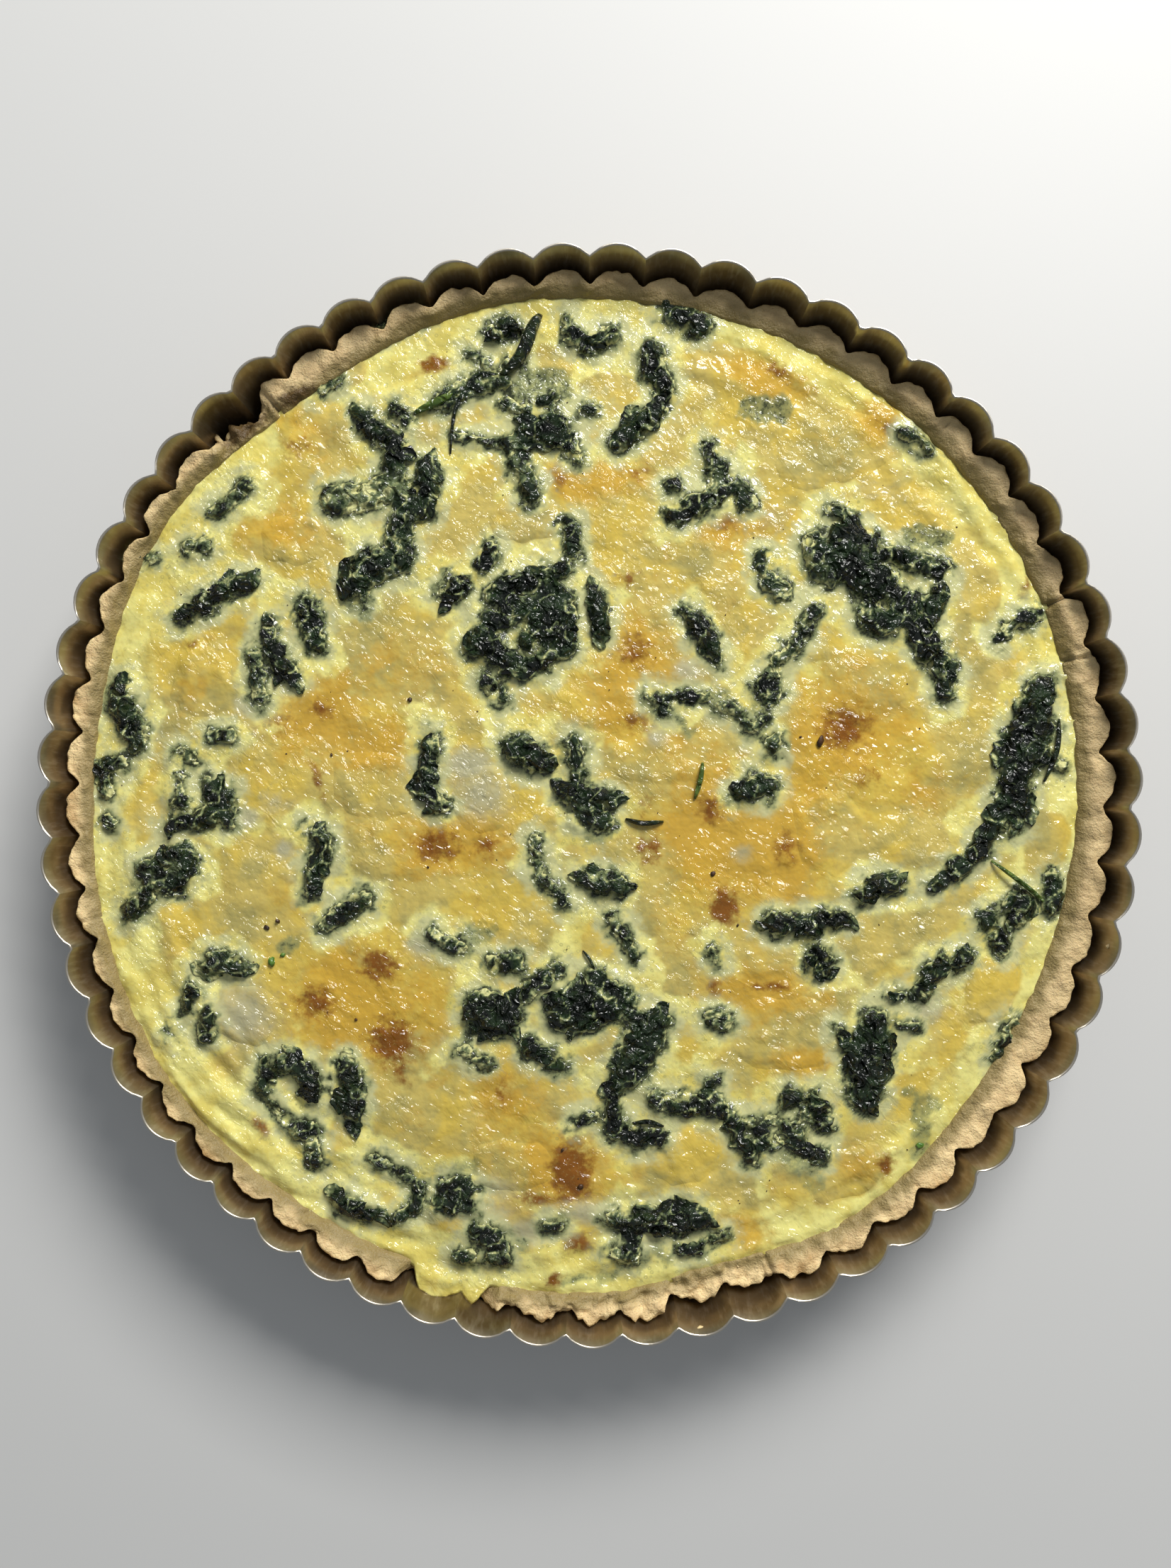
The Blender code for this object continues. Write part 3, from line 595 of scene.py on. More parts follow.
SCRAPS = (
    Scrap(4.0, 0.1, ((-46, 104.3), (-42, 106), (-38.5, 106.8))),
    Scrap(2.5, 0.1, ((-19, 87), (-14, 86.5), (-10, 87.5), (-7.9, 89.3))),
    Scrap(3.0, 0.2, ((-6, 80), (-2.5, 75.4))),
    Scrap(2.0, 0.5, ((-30, 80), (-23, 78.6), (-17, 79))),
    Scrap(2.0, 0.2, ((-18, 76.5), (-16.5, 73), (-15, 70), (-12.5, 68.5))),
    Scrap(3.5, 0.1, ((-43.5, 86), (-41, 83.5))),
    Scrap(6.0, 0.4, ((-41, 60), (-43, 56), (-42, 52))),
    Scrap(6.5, 0.85, ((-57, 66), (-52, 66), (-47, 67.5))),
    Scrap(4.0, 0.1, ((-4.5, 60), (-3.8, 57), (-3.5, 53.5))),
    Scrap(4.0, 0.0, ((-24, 50.5), (-22, 54.5))),
    Scrap(4.5, 0.2, ((-21, 45), (-17, 43), (-14, 41.5))),
    Scrap(4.5, 0.3, ((-16, 41), (-22, 38), (-26, 33))),
    Scrap(4.0, 0.2, ((-10, 45), (-12, 40), (-14, 34))),
    Scrap(3.5, 0.0, ((-23, 25.5), (-19.5, 21.5))),
    Scrap(4.0, 0.2, ((-3, 102.5), (0.5, 100), (4.5, 103))),
    Scrap(1.4, 0.3, ((-5, 107), (-5, 101))),
    Scrap(5.5, 0.0, ((17.5, 108.3), (20.5, 107), (24, 105))),
    Scrap(5.5, 0.1, ((13.5, 98.5), (14.5, 95), (16, 91))),
    Scrap(2.2, 0.2, ((-1.2, 86), (1.2, 86))),
    Scrap(3.0, 0.3, ((26.5, 77.4), (27.5, 74))),
    Scrap(5.0, 0.4, ((28, 73), (31, 69), (34.5, 65.5))),
    Scrap(5.0, 0.25, ((19, 62.5), (24, 65), (28.5, 66.5))),
    Scrap(2.4, 0.0, ((17.8, 69), (19.8, 69))),
    Scrap(4.0, 0.5, ((38.5, 53), (39.5, 48), (43, 45))),
    Scrap(3.0, 0.3, ((70, 80), (75, 77))),
    Scrap(2.5, 0.2, ((53.5, 64), (58, 61.5))),
    Scrap(4.5, 0.1, ((67, 53.5), (72, 52), (78, 50))),
    Scrap(5.5, 0.1, ((62, 57), (60, 51), (66, 47))),
    Scrap(4.0, 0.3, ((71.5, 39), (74, 32))),
    Scrap(5.0, 0.0, ((77, 31), (80, 27), (79, 23))),
    Scrap(3.2, 0.3, ((91.5, 35), (94.5, 38.5), (100, 40.5))),
    Scrap(2.2, 0.1, ((103, 16), (101, 8), (105.5, 6.5))),
    Scrap(3.0, 0.1, ((96, -3), (94.5, -8))),
    Scrap(3.0, 0.2, ((91.5, -1), (90.3, -7))),
    Scrap(4.5, 0.1, ((103.5, -19.5), (103, -24.5))),
    Scrap(3.8, 0.1, ((88, -27), (90, -30), (92, -34))),
    Scrap(3.5, 0.5, ((94.5, -51), (91, -58))),
    Scrap(2.4, 0.1, ((66.8, -44.5), (69.4, -44.5))),
    Scrap(2.0, 0.5, ((69, -51), (73, -51.5))),
    Scrap(3.4, 0.1, ((-14.5, -45), (-10.5, -41), (-7, -38.5))),
    Scrap(4.0, 0.0, ((-14, -55.5), (-10, -58), (-6.5, -60.5))),
    Scrap(2.2, 0.3, ((-29.2, -57), (-26.8, -57))),
    Scrap(2.2, 0.3, ((-25.2, -59), (-22.8, -59))),
    Scrap(4.5, 0.1, ((5, -73.5), (10, -76.3), (15, -76))),
    Scrap(2.2, 0.2, ((26, -64), (28.4, -63.5))),
    Scrap(2.4, 0.1, ((36, -73), (38, -74.5), (40.5, -72))),
    Scrap(4.0, 0.1, ((44.5, -74), (47, -78), (51.5, -80.3))),
    Scrap(2.0, 0.1, ((-3.5, -73.3), (1, -71))),
    Scrap(2.8, 0.2, ((5, -27.5), (8, -32), (10, -36))),
    Scrap(2.6, 0.2, ((-12, -10), (-12.3, -16), (-8, -21), (-5.5, -24))),
    Scrap(3.4, 0.1, ((-3.5, 11.5), (-2.5, 5))),
    Scrap(3.0, 0.1, ((13.5, 22.5), (17, 19))),
    Scrap(3.4, 0.35, ((50, 41), (46, 34), (42, 29.5), (38, 24))),
    Scrap(4.2, 0.1, ((40.8, 26), (40.3, 21.5))),
    Scrap(3.0, 0.3, ((41.5, 13.5), (40.5, 9.5))),
    Scrap(2.2, 0.0, ((27.6, -34.8), (28.4, -37.2))),
    Scrap(4.0, 0.55, ((27.5, -49.5), (30.5, -50.5))),
    Scrap(3.2, 0.3, ((-35, -31), (-32, -32.8), (-28.5, -34))),
    Scrap(4.0, 0.35, ((-21.5, -37), (-16.5, -37.3))),
    Scrap(4.0, 0.2, ((-58.5, -28.5), (-54, -25.3), (-50.5, -23.3))),
    Scrap(5.0, 0.0, ((-63, 42.5), (-62, 38), (-61, 34))),
    Scrap(3.4, 0.45, ((-74.5, 31), (-74, 26), (-73.5, 21))),
    Scrap(3.2, 0.5, ((-89.2, 55), (-85.8, 55.5))),
    Scrap(2.2, 0.0, ((-105, 52.5), (-101, 53.2), (-97.5, 52.5))),
    Scrap(3.4, 0.0, ((-109.3, 6.5), (-105, 7.2))),
    Scrap(3.4, 0.1, ((-108.3, 6), (-108, 0.8))),
    Scrap(2.2, 0.1, ((-107.6, -5.4), (-106.6, -6.8))),
    Scrap(3.2, 0.3, ((-91.4, 9.3), (-88.8, 8.8))),
    Scrap(2.8, 0.1, ((-91, 4), (-91, -2))),
    Scrap(3.6, 0.55, ((-83.6, 13), (-80.4, 13))),
    Scrap(3.0, 0.5, ((-84, 63), (-80, 65.5), (-76, 69))),
    Scrap(2.8, 0.2, ((-88.8, -43.2), (-87.2, -44))),
    Scrap(2.6, 0.1, ((-89.5, -46), (-89.4, -48.4))),
    Scrap(3.2, 0.2, ((-85, -48.5), (-85, -53.5))),
    Scrap(2.2, 0.1, ((-92.7, -51.6), (-92.3, -53.4))),
    Scrap(3.0, 0.2, ((-63.8, -73.6), (-61.4, -74.4))),
    Scrap(3.8, 0.3, ((-61.6, -78.5), (-61.4, -81.5))),
    Scrap(2.8, 0.0, ((-48, -81), (-42, -84), (-38, -88), (-38.5, -92), (-43, -94))),
    Scrap(4.8, 0.0, ((-31.4, -88), (-26.6, -88.3))),
    Scrap(3.2, 0.5, ((-28.6, -103), (-25.6, -103))),
    Scrap(3.0, 0.2, ((-22.4, -103), (-19.8, -103.4))),
    Scrap(2.6, 0.3, ((-9.4, -96), (-6.8, -96.2))),
    Scrap(2.0, 0.4, ((4, -101), (10, -104))),
    Scrap(1.8, 0.1, ((25, -99.5), (30, -98))),
    Scrap(3.0, 0.2, ((21.2, -101), (23.8, -101.2))),
    Scrap(3.0, 0.1, ((55.5, -52), (57, -56))),
    Scrap(4.5, 0.4, ((-33, 87.5), (-27, 91), (-20, 92.5), (-17, 96))),
    Scrap(4.5, 0.4, ((-17, 78), (-15, 73), (-13, 66))),
    Scrap(5.0, 0.5, ((-44, 76), (-43, 70), (-41, 62))),
    Scrap(1.8, 0.4, ((-61, 89.5), (-56, 92.5))),
    Scrap(1.6, 0.4, ((-27, 98.5), (-23, 96))),
    Scrap(4.5, 0.2, ((-9, 47), (-5, 42), (-5, 34), (-10, 29), (-18, 28))),
    Scrap(3.5, 0.2, ((-36, 0), (-33, -2.5))),
    Scrap(5.0, 0.3, ((-2, -5), (3, -6))),
    Scrap(6.0, 0.4, ((-98, -17), (-93, -20), (-90, -15))),
    Scrap(2.5, 0.2, ((-85, 3), (-84, -3))),
    Scrap(3.0, 0.1, ((-81, 1), (-80.5, -6))),
    Scrap(2.4, 0.3, ((-72, -59), (-73, -66), (-68, -72), (-64, -76))),
    Scrap(3.2, 0.3, ((-34, -91), (-27, -91.5))),
    Scrap(4.5, 0.1, ((-25, -97), (-21, -99), (-20, -103))),
    Scrap(3.5, 0.2, ((5, -94), (9, -97), (9, -101))),
    Scrap(5.0, 0.3, ((1, -41), (5, -43), (9, -48))),
    Scrap(5.0, 0.1, ((15, -52), (12, -58), (9, -63))),
    Scrap(3.0, 0.3, ((14, -67), (18, -70), (24, -70))),
    Scrap(2.5, 0.3, ((48, -71), (53, -74))),
    Scrap(3.0, 0.3, ((36, -81), (37, -78), (42, -77))),
    Scrap(2.4, 0.3, ((17, 22), (26, 22))),
    Scrap(2.2, 0.4, ((28, 20), (33, 18.5), (36, 14), (39, 17))),
    Scrap(6.0, 0.3, ((50, 56), (51, 52), (53, 49))),
    Scrap(6.0, 0.3, ((62, 40), (67, 38), (71, 43))),
    Scrap(2.5, 0.3, ((21, 41), (24, 39))),
    Scrap(2.0, 0.4, ((36, 4), (41, 3), (40, -1))),
)
SUNKEN = (
    Scrap(9.0, 0.9, ((-13, 91), (-8, 91))), Scrap(6.5, 0.9, ((36.5, 86), (42.5, 86))),
    Scrap(5.5, 0.9, ((72, 58), (79, 57))), Scrap(5.0, 0.8, ((74, -70), (74, -80))),
    Scrap(5.0, 0.8, ((1.5, -9), (1.5, -6))), Scrap(3.0, 0.8, ((17, 20), (22, 14))),
    Scrap(4.0, 0.8, ((20, 22), (30, 22))), Scrap(5.0, 0.8, ((-27, -31), (-23, -31))),
    Scrap(4.0, 0.8, ((-68, -34), (-66, -33))), Scrap(3.0, 0.7, ((-63, -14), (-62, -19), (-64, -24))),
    Scrap(5.0, 0.7, ((39, 22), (36, 15))), Scrap(4.0, 0.7, ((71, -66), (77, -69))),
    Scrap(3.0, 0.7, ((16, -100), (17.5, -104))), Scrap(3.0, 0.7, ((3, -108), (7, -105))),
    Scrap(6.0, 0.6, ((50, -86), (44, -80))), Scrap(4.0, 0.7, ((-54, 45), (-50, 40))),
    Scrap(4.0, 0.9, ((-10, -96), (-6, -95))), Scrap(3.5, 1.0, ((3, -94.5), (8, -96.5))),
    Scrap(2.5, 0.9, ((-5, -108.3), (-1, -107.5))), Scrap(3.0, 0.8, ((9, -104.5), (15, -102))),
    Scrap(4.0, 0.7, ((-19, -98), (-15, -100))), Scrap(3.0, 0.7, ((-30, -84), (-25, -82))),
)


@dataclass(frozen=True)
class Stem:
    """A thin stem or strand: width at its middle, lift over the custard, how green, spine."""

    width: float
    lift: float
    green: bool
    points: tuple


STEMS = (
    Stem(3.0, 1.6, False, ((-11, 107.2), (-12.5, 104), (-14.3, 99), (-16.5, 95.8), (-19.5, 93.3))),
    Stem(1.0, 1.2, False, ((-20, 93.5), (-24.5, 93.6), (-27.2, 90.4), (-29.3, 86.6), (-30.4, 82.4), (-31, 76))),
    Stem(1.9, 0.7, True, ((-39, 85), (-34, 87.2), (-28.8, 89.9))),
    Stem(1.1, 1.5, True, ((89.5, -14.6), (96, -19.6), (101.5, -24))),
    Stem(1.1, 0.7, False, ((9.5, -73), (13, -72.4), (16.5, -73.6))),
    Stem(0.7, 0.5, False, ((-1.5, -34.6), (0, -36.4), (1.2, -39))),
    Stem(1.2, 0.5, False, ((8, -5.3), (12, -6.2), (16.5, -5.9))),
    Stem(1.2, 0.6, True, ((25.2, 7.3), (24.6, 3.5), (23.4, -0.8))),
    Stem(1.2, 0.8, False, ((104.5, 17), (103.5, 10), (101, 3))),
    Stem(1.0, 0.5, False, ((72.5, 38.5), (74.5, 34), (76.5, 30))),
)


@dataclass(frozen=True)
class Fleck:
    """A small bit on the top: place and size in mm."""

    x: float
    y: float
    size: float


CHARS = (
    Fleck(51.5, 12, 2.3), Fleck(-69.5, -28, 1.2), Fleck(-72, -29.5, 1.3), Fleck(-57.5, 9, 1.0),
    Fleck(-40, 21.3, 1.2), Fleck(-2, -87, 1.5), Fleck(27.5, -17.5, 1.2), Fleck(47, 13, 0.8),
    Fleck(-36, -16, 0.8), Fleck(-52, -50, 0.9), Fleck(33, -29, 0.8), Fleck(-6, -79, 0.9),
)
PEAS = (Fleck(-70.8, -37, 2.4), Fleck(73.5, -78, 1.6), Fleck(-68.4, -35.6, 1.3), Fleck(36, 14.6, 1.2))


# --- Reading the frame -----------------------------------------------------------

def polar(angle: np.ndarray, radius: np.ndarray, height: np.ndarray) -> tuple:
    """Places in mm from angle, radius and height."""
    return radius * np.cos(angle), radius * np.sin(angle), height


def laid_grid(builder: bmesh.types.BMesh, across: int, along: int, place: Callable,
              rolled: bool = False) -> list:
    """Add a grid to a bmesh, laid out by a function.

    Args:
        builder: the bmesh to add to.
        across, along: cells each way.
        place: gives x, y, z in mm from arrays of shares 0 to 1 across and along.
        rolled: merge the first and last lines across, to close the grid round.

    Returns:
        The grid's vertices.
    """
    verts = bmesh.ops.create_grid(builder, x_segments=across, y_segments=along, size=0.5)["verts"]
    shares = np.array([v.co[:2] for v in verts]) + 0.5
    for vert, spot in zip(verts, np.stack(place(shares[:, 0], shares[:, 1]), axis=1) * MM):
        vert.co = spot
    if rolled:
        seam = [v for v, share in zip(verts, shares[:, 0]) if share < 1e-4 or share > 1 - 1e-4]
        bmesh.ops.remove_doubles(builder, verts=seam, dist=1e-6)
        verts = [v for v in verts if v.is_valid]
    return verts


def close_holes(builder: bmesh.types.BMesh) -> None:
    """Fill every open loop."""
    bmesh.ops.holes_fill(builder, edges=[e for e in builder.edges if e.is_boundary], sides=0)


def close_flat(builder: bmesh.types.BMesh, edges: list, move: Callable) -> None:
    """Close an open sheet with a wall down from its boundary and a flat underside.

    Args:
        builder: the bmesh that holds it.
        edges: the sheet's boundary edges.
        move: gives the underside's place from a boundary place.
    """
    made = bmesh.ops.extrude_edge_only(builder, edges=edges)["geom"]
    for vert in (g for g in made if isinstance(g, bmesh.types.BMVert)):
        vert.co = move(vert.co)
    rim = [g for g in made if isinstance(g, bmesh.types.BMEdge) and g.is_boundary]
    bmesh.ops.holes_fill(builder, edges=rim, sides=0)


def close_below(builder: bmesh.types.BMesh, faces: list, move: Callable) -> None:
    """Close an open sheet with a wall and an underside that follows it.

    Args:
        builder: the bmesh that holds it.
        faces: the sheet's faces.
        move: gives the underside's place from a top vertex.
    """
    made = bmesh.ops.extrude_face_region(builder, geom=faces, use_keep_orig=True)["geom"]
    for vert in (g for g in made if isinstance(g, bmesh.types.BMVert)):
        vert.co = move(vert)


@dataclass
class Raster:
    """Values on a square raster centred on the axis, read between its points."""

    values: np.ndarray
    reach: float
    pitch: float

    @staticmethod
    def grid(reach: float, pitch: float) -> tuple:
        """Places in mm of the raster's points."""
        ticks = np.arange(-reach, reach + pitch / 2, pitch)
        return np.meshgrid(ticks, ticks, indexing="ij")

    def blurred(self, passes: int) -> "Raster":
        """The same raster, smoothed."""
        level = self.values
        for _ in range(passes):
            wide = np.pad(level, 1, mode="edge")
            beside = wide[:-2, 1:-1] + wide[2:, 1:-1] + wide[1:-1, :-2] + wide[1:-1, 2:]
            level = (2 * level + beside) / 6
        return Raster(level, self.reach, self.pitch)

    def at(self, x: np.ndarray, y: np.ndarray) -> np.ndarray:
        """Values at places in mm."""
        last = len(self.values) - 1.001
        grid_x = np.clip((x + self.reach) / self.pitch, 0, last)
        grid_y = np.clip((y + self.reach) / self.pitch, 0, last)
        i, j = grid_x.astype(int), grid_y.astype(int)
        part_x, part_y = grid_x - i, grid_y - j
        near = self.values[i, j] * (1 - part_x) + self.values[i + 1, j] * part_x
        far = self.values[i, j + 1] * (1 - part_x) + self.values[i + 1, j + 1] * part_x
        return near * (1 - part_y) + far * part_y


class CustardEdge:
    """Where the custard ends, by angle, read from the filling's slanting side."""

    STATIONS = 720
    LOW, HIGH = 15.0, 18.5

    def __init__(self, filling: BVHTree) -> None:
        """Cast rays at the filling's side at two heights and at its top."""
        self.angles = np.arange(self.STATIONS) * math.tau / self.STATIONS
        radii, heights = [], []
        for angle in self.angles:
            inward = Vector((-math.cos(angle), -math.sin(angle), 0.0))
            low, high = (self._side(filling, inward, z) for z in (self.LOW, self.HIGH))
            top = filling.ray_cast(inward * -(high - 0.4) * MM + UP * OVERHEAD, DOWN)[0].z / MM
            radii.append(high + (high - low) * (top - self.HIGH) / (self.HIGH - self.LOW))
            heights.append(top)
        self.radii, self.heights = np.array(radii), np.array(heights)

    @staticmethod
    def _side(filling: BVHTree, inward: Vector, height: float) -> float:
        """Radius in mm of the side at a height."""
        hit = filling.ray_cast(inward * -OVERHEAD * 2 + UP * height * MM, inward)[0]
        return math.hypot(hit.x, hit.y) / MM

    def radius(self, angle: np.ndarray) -> np.ndarray:
        """Radius of the edge in mm."""
        return np.interp(angle, self.angles, self.radii, period=math.tau)

    def height(self, angle: np.ndarray) -> np.ndarray:
        """Height of the edge in mm."""
        return np.interp(angle, self.angles, self.heights, period=math.tau)


def stroke_gap(x: np.ndarray, y: np.ndarray, width: float, points: tuple) -> np.ndarray:
    """Distance in mm from places to a band along a spine, negative inside it."""
    best = np.full_like(x, 1e9)
    for (ax, ay), (bx, by) in zip(points, points[1:]):
        span_x, span_y = bx - ax, by - ay
        share = ((x - ax) * span_x + (y - ay) * span_y) / (span_x ** 2 + span_y ** 2 + 1e-9)
        share = np.clip(share, 0.0, 1.0)
        best = np.minimum(best, np.hypot(x - ax - share * span_x, y - ay - share * span_y))
    return best - width / 2


class Relief:
    """Height of the baked top in mm, a finer skin over the filling's facets."""

    PITCH = 2.5
    REACH = 125.0
    MELT_RISE = 0.40

    def __init__(self, filling: BVHTree, edge: CustardEdge) -> None:
        """Sample the filling's top on a raster and smooth its facets away."""
        self.edge = edge
        self.grain = Grain(11)
        x, y = Raster.grid(self.REACH, self.PITCH)
        angle = np.arctan2(y, x) % math.tau
        radius = np.minimum(np.hypot(x, y), edge.radius(angle) - 0.6)
        spots = np.stack((radius * np.cos(angle), radius * np.sin(angle)), axis=-1).reshape(-1, 2) * MM
        level = [filling.ray_cast(Vector((a, b, OVERHEAD)), DOWN)[0].z / MM for a, b in spots]
        self.raster = Raster(np.array(level).reshape(x.shape), self.REACH, self.PITCH).blurred(4)

    def height(self, x: np.ndarray, y: np.ndarray) -> np.ndarray:
        """The skin's height, with folds, melted rises and wrinkles."""
        rise = self.raster.at(x, y)
        for fold in FOLDS:
            gap = stroke_gap(x, y, 0.0, fold.points) + 0.8 * self.grain.at(x, y, 7.0)
            rise = rise + fold.height * np.exp(-((gap / fold.width) ** 2))
        warp = 0.16 * self.grain.at(x, y, 6.0, 2)
        for melt in MELTS:
            rise = rise + self.MELT_RISE * ease(melt.reach(x, y, 2.6) + warp, 1.15, 0.6)
        for toast in TOASTS:
            blister = 0.4 + 0.6 * self.grain.at(x, y, 2.6, 2)
            rise = rise + 0.34 * toast.glow(x, y) * blister
        crinkle = ease(self.grain.at(x, y, 16.0, 2), -0.35, 0.45)
        rise = rise + 0.34 * self.grain.at(x, y, 10.0, 2) + crinkle * 0.10 * self.grain.at(x, y, 3.0, 2, 1.5, -40)
        radius = np.hypot(x, y)
        rim = ease(radius, 84, 98)
        seam = 1 - np.exp(-((np.arctan2(y, x) / 0.03) ** 2))
        wave = self.grain.at((np.arctan2(y, x) % math.tau) * 36, radius, 5.6, 2)
        thick = 0.50 + 0.45 * ease(-(x + y) / math.sqrt(2), 20, 70)
        return rise + thick * rim * wave * seam


class LeafMap:
    """Where spinach lies: distance to its edge and its lift over the custard, on a raster."""

    REACH = 118.0
    PITCH = 0.5
    FAR = 24
    SPREAD = 0.45
    DENSE = ("giant_leaf", "flat_leaf", "south_heap_west", "bean", "long_leaf", "ring_south", "east_heap")

    def __init__(self, nodes: list, relief: Relief) -> None:
        """Lay the solids and the scraps out on the raster."""
        self.grain = Grain(83)
        x, y = Raster.grid(self.REACH, self.PITCH)
        lift, dense, veil = np.zeros_like(x), np.zeros_like(x), np.zeros_like(x)
        for name in nodes:
            tree = solid_tree(name)
            low, high = (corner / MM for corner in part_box(name))
            near = (x > low.x) & (x < high.x) & (y > low.y) & (y < high.y)
            ground = relief.height(x[near], y[near])
            hits = [tree.ray_cast(Vector((a, b, OVERHEAD)), DOWN)[0] for a, b in zip(x[near] * MM, y[near] * MM)]
            tops = np.array([hit.z / MM if hit else 0.0 for hit in hits])
            lift[near] = np.maximum(lift[near], np.where(tops > 0, np.maximum(tops - ground, 0.4), 0.0))
            dense[near] = np.where((tops > 0) & name.endswith(self.DENSE), 1.0, dense[near])
        for scrap in SCRAPS:
            inside = stroke_gap(x, y, scrap.width, scrap.points) < 0
            lift[inside] = np.maximum(lift[inside], 0.35 + 0.14 * scrap.width)
            veil[inside] = np.maximum(veil[inside], scrap.film)
        within = lift > 0
        signed = self._distance(within) - self._distance(~within)
        self.edge = Raster(signed, self.REACH, self.PITCH).blurred(2)
        self.rise = Raster(lift, self.REACH, self.PITCH).blurred(8)
        self.dense = Raster(dense, self.REACH, self.PITCH).blurred(4)
        self.veil = Raster(veil, self.REACH, self.PITCH).blurred(6)

    def _distance(self, marked: np.ndarray) -> np.ndarray:
        """Distance in mm from every point to the nearest marked one."""
        run = np.where(marked, 0.0, float(self.FAR))
        for i in range(1, len(run)):
            run[i] = np.minimum(run[i], run[i - 1] + 1)
        for i in range(len(run) - 2, -1, -1):
            run[i] = np.minimum(run[i], run[i + 1] + 1)
        wide = np.pad(run, ((0, 0), (self.FAR, self.FAR)), constant_values=self.FAR)
        span = run.shape[1]
        shifts = range(2 * self.FAR + 1)
        best = np.min([wide[:, k:k + span] ** 2 + (k - self.FAR) ** 2 for k in shifts], axis=0)
        return np.sqrt(best) * self.PITCH

    def gap(self, x: np.ndarray, y: np.ndarray) -> np.ndarray:
        """Distance in mm to the nearest clump or scrap, negative within one."""
        return self.edge.at(x, y)

    def torn(self, x: np.ndarray, y: np.ndarray) -> np.ndarray:
        """Distance in mm to the leaves' ragged margins and holes, negative where there is leaf."""
        ragged = 1.15 * self.grain.at(x, y, 4.2, 3) + 0.45 * self.grain.at(x, y, 1.3, 2)
        hole = ease(self.grain.at(x + 50, y, 4.4, 2), 0.25, 0.75) * (1 - 0.95 * self.dense.at(x, y))
        return self.gap(x, y) - self.SPREAD + ragged + 2.2 * hole


# --- Tin and pastry ----------------------------------------------------------------

@dataclass
class FlutedTin:
    """The pressed tin: finely rounded flutes between the solid's creases, over a flat base."""

    columns: int = 720
    sheet: float = 0.6
    base_corner: float = 1.1
    flat_from: float = 9.0
    crease_round: float = 0.10
    finish: TinFinish = field(default_factory=lambda: TinFinish("tinned_steel"))

    def __post_init__(self) -> None:
        """Read the creases, radii and height from the solid."""
        low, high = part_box("tin")
        self.height = high.z / MM
        points = np.array([v.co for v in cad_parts["tin"].data.vertices]) / MM
        radii = np.hypot(points[:, 0], points[:, 1])
        angles = np.arctan2(points[:, 1], points[:, 0]) % math.tau
        top = points[:, 2] > self.height - 0.1
        foot = points[:, 2] < low.z / MM + 0.1
        self.rim_radius, self.base_radius = radii[top].max(), radii[foot].max()
        marks = np.unique(np.round(angles[top], 4))
        outer = np.array([radii[top & (np.abs(angles - mark) < 2e-4)].max() for mark in marks])
        dips = (outer < np.roll(outer, 1)) & (outer < np.roll(outer, -1))
        self.creases = marks[dips]
        self.depth = self.rim_radius - outer.min()

    def sag(self, angle: np.ndarray) -> np.ndarray:
        """How far the wall stands in from a flute's crown."""
        ring = np.concatenate((self.creases[-1:] - math.tau, self.creases, self.creases[:1] + math.tau))
        index = np.clip(np.searchsorted(ring, angle, side="right") - 1, 0, len(ring) - 2)
        across = np.abs(2 * (angle - ring[index]) / (ring[index + 1] - ring[index]) - 1)
        past = np.clip((across - 1 + self.crease_round) / self.crease_round, 0, 1)
        across = across - self.crease_round * past ** 2 / 2
        half = self.rim_radius * math.sin(math.pi / len(self.creases))
        arc = (half ** 2 + self.depth ** 2) / (2 * self.depth)
        return arc - np.sqrt(arc ** 2 - (across * half) ** 2)

    def profile(self) -> list:
        """(inward from the outer wall, height) from under the base, over the rim, to the floor."""
        sheet, corner = self.sheet, self.base_corner
        under = [(26.0, 0.0), (24.5, 0.0), (24.0, 0.35), (22.0, 0.35), (21.5, 0.0), (self.flat_from, 0.0)]
        turn = [(corner * (1 - math.sin(a)), corner * (1 - math.cos(a)))
                for a in (math.radians(d) for d in (0, 30, 60, 90))]
        wall = [(0.0, h) for h in (5.0, 12.0, 19.0, 25.0, self.height - sheet / 2)]
        rim = [(sheet / 2 * (1 - math.cos(a)), self.height - sheet / 2 * (1 - math.sin(a)))
               for a in (math.radians(d) for d in (45, 90, 135))]
        inside = [(sheet, h) for h in (self.height - sheet / 2, 25.0, 19.0, 12.0, 5.0)]
        floor = [(sheet + corner * (1 - math.cos(a)), sheet + corner * (1 - math.sin(a)))
                 for a in (math.radians(d) for d in (0, 45, 90))]
        return under + turn + wall + rim + inside + floor + [(self.flat_from, sheet), (26.0, sheet)]

    def build(self) -> bpy.types.Object:
        """Make the tin."""
        profile = np.array(self.profile())
        levels = len(profile) - 1

        def place(across: np.ndarray, along: np.ndarray) -> tuple:
            """Points of the wall, with flutes that fade out over the base."""
            angle = (across % 1.0) * math.tau
            inward, height = profile[np.round(along * levels).astype(int)].T
            lean = (self.rim_radius - self.base_radius) / self.height
            fade = ease(inward, self.flat_from, 1.0)
            radius = self.base_radius + lean * height - inward - self.sag(angle) * fade
            return polar(angle, radius, height)

        builder = bmesh.new()
        laid_grid(builder, self.columns, levels, place, rolled=True)
        close_holes(builder)
        return finish_piece("fluted_tin", builder, self.finish.material(), ("tin",),
                            self.masks, 50.0)

    def masks(self, x: np.ndarray, y: np.ndarray, z: np.ndarray) -> dict:
        """Where a painted highlight lies along the cut rim."""
        return {"rim": ease(z, self.height - 0.45, self.height - 0.1) * 0.8}


@dataclass(frozen=True)
class Crack:
    """A split across the pastry rim: degrees round, width and depth in mm, slant in degrees."""

    degrees: float
    width: float
    depth: float
    slant: float = 0.0


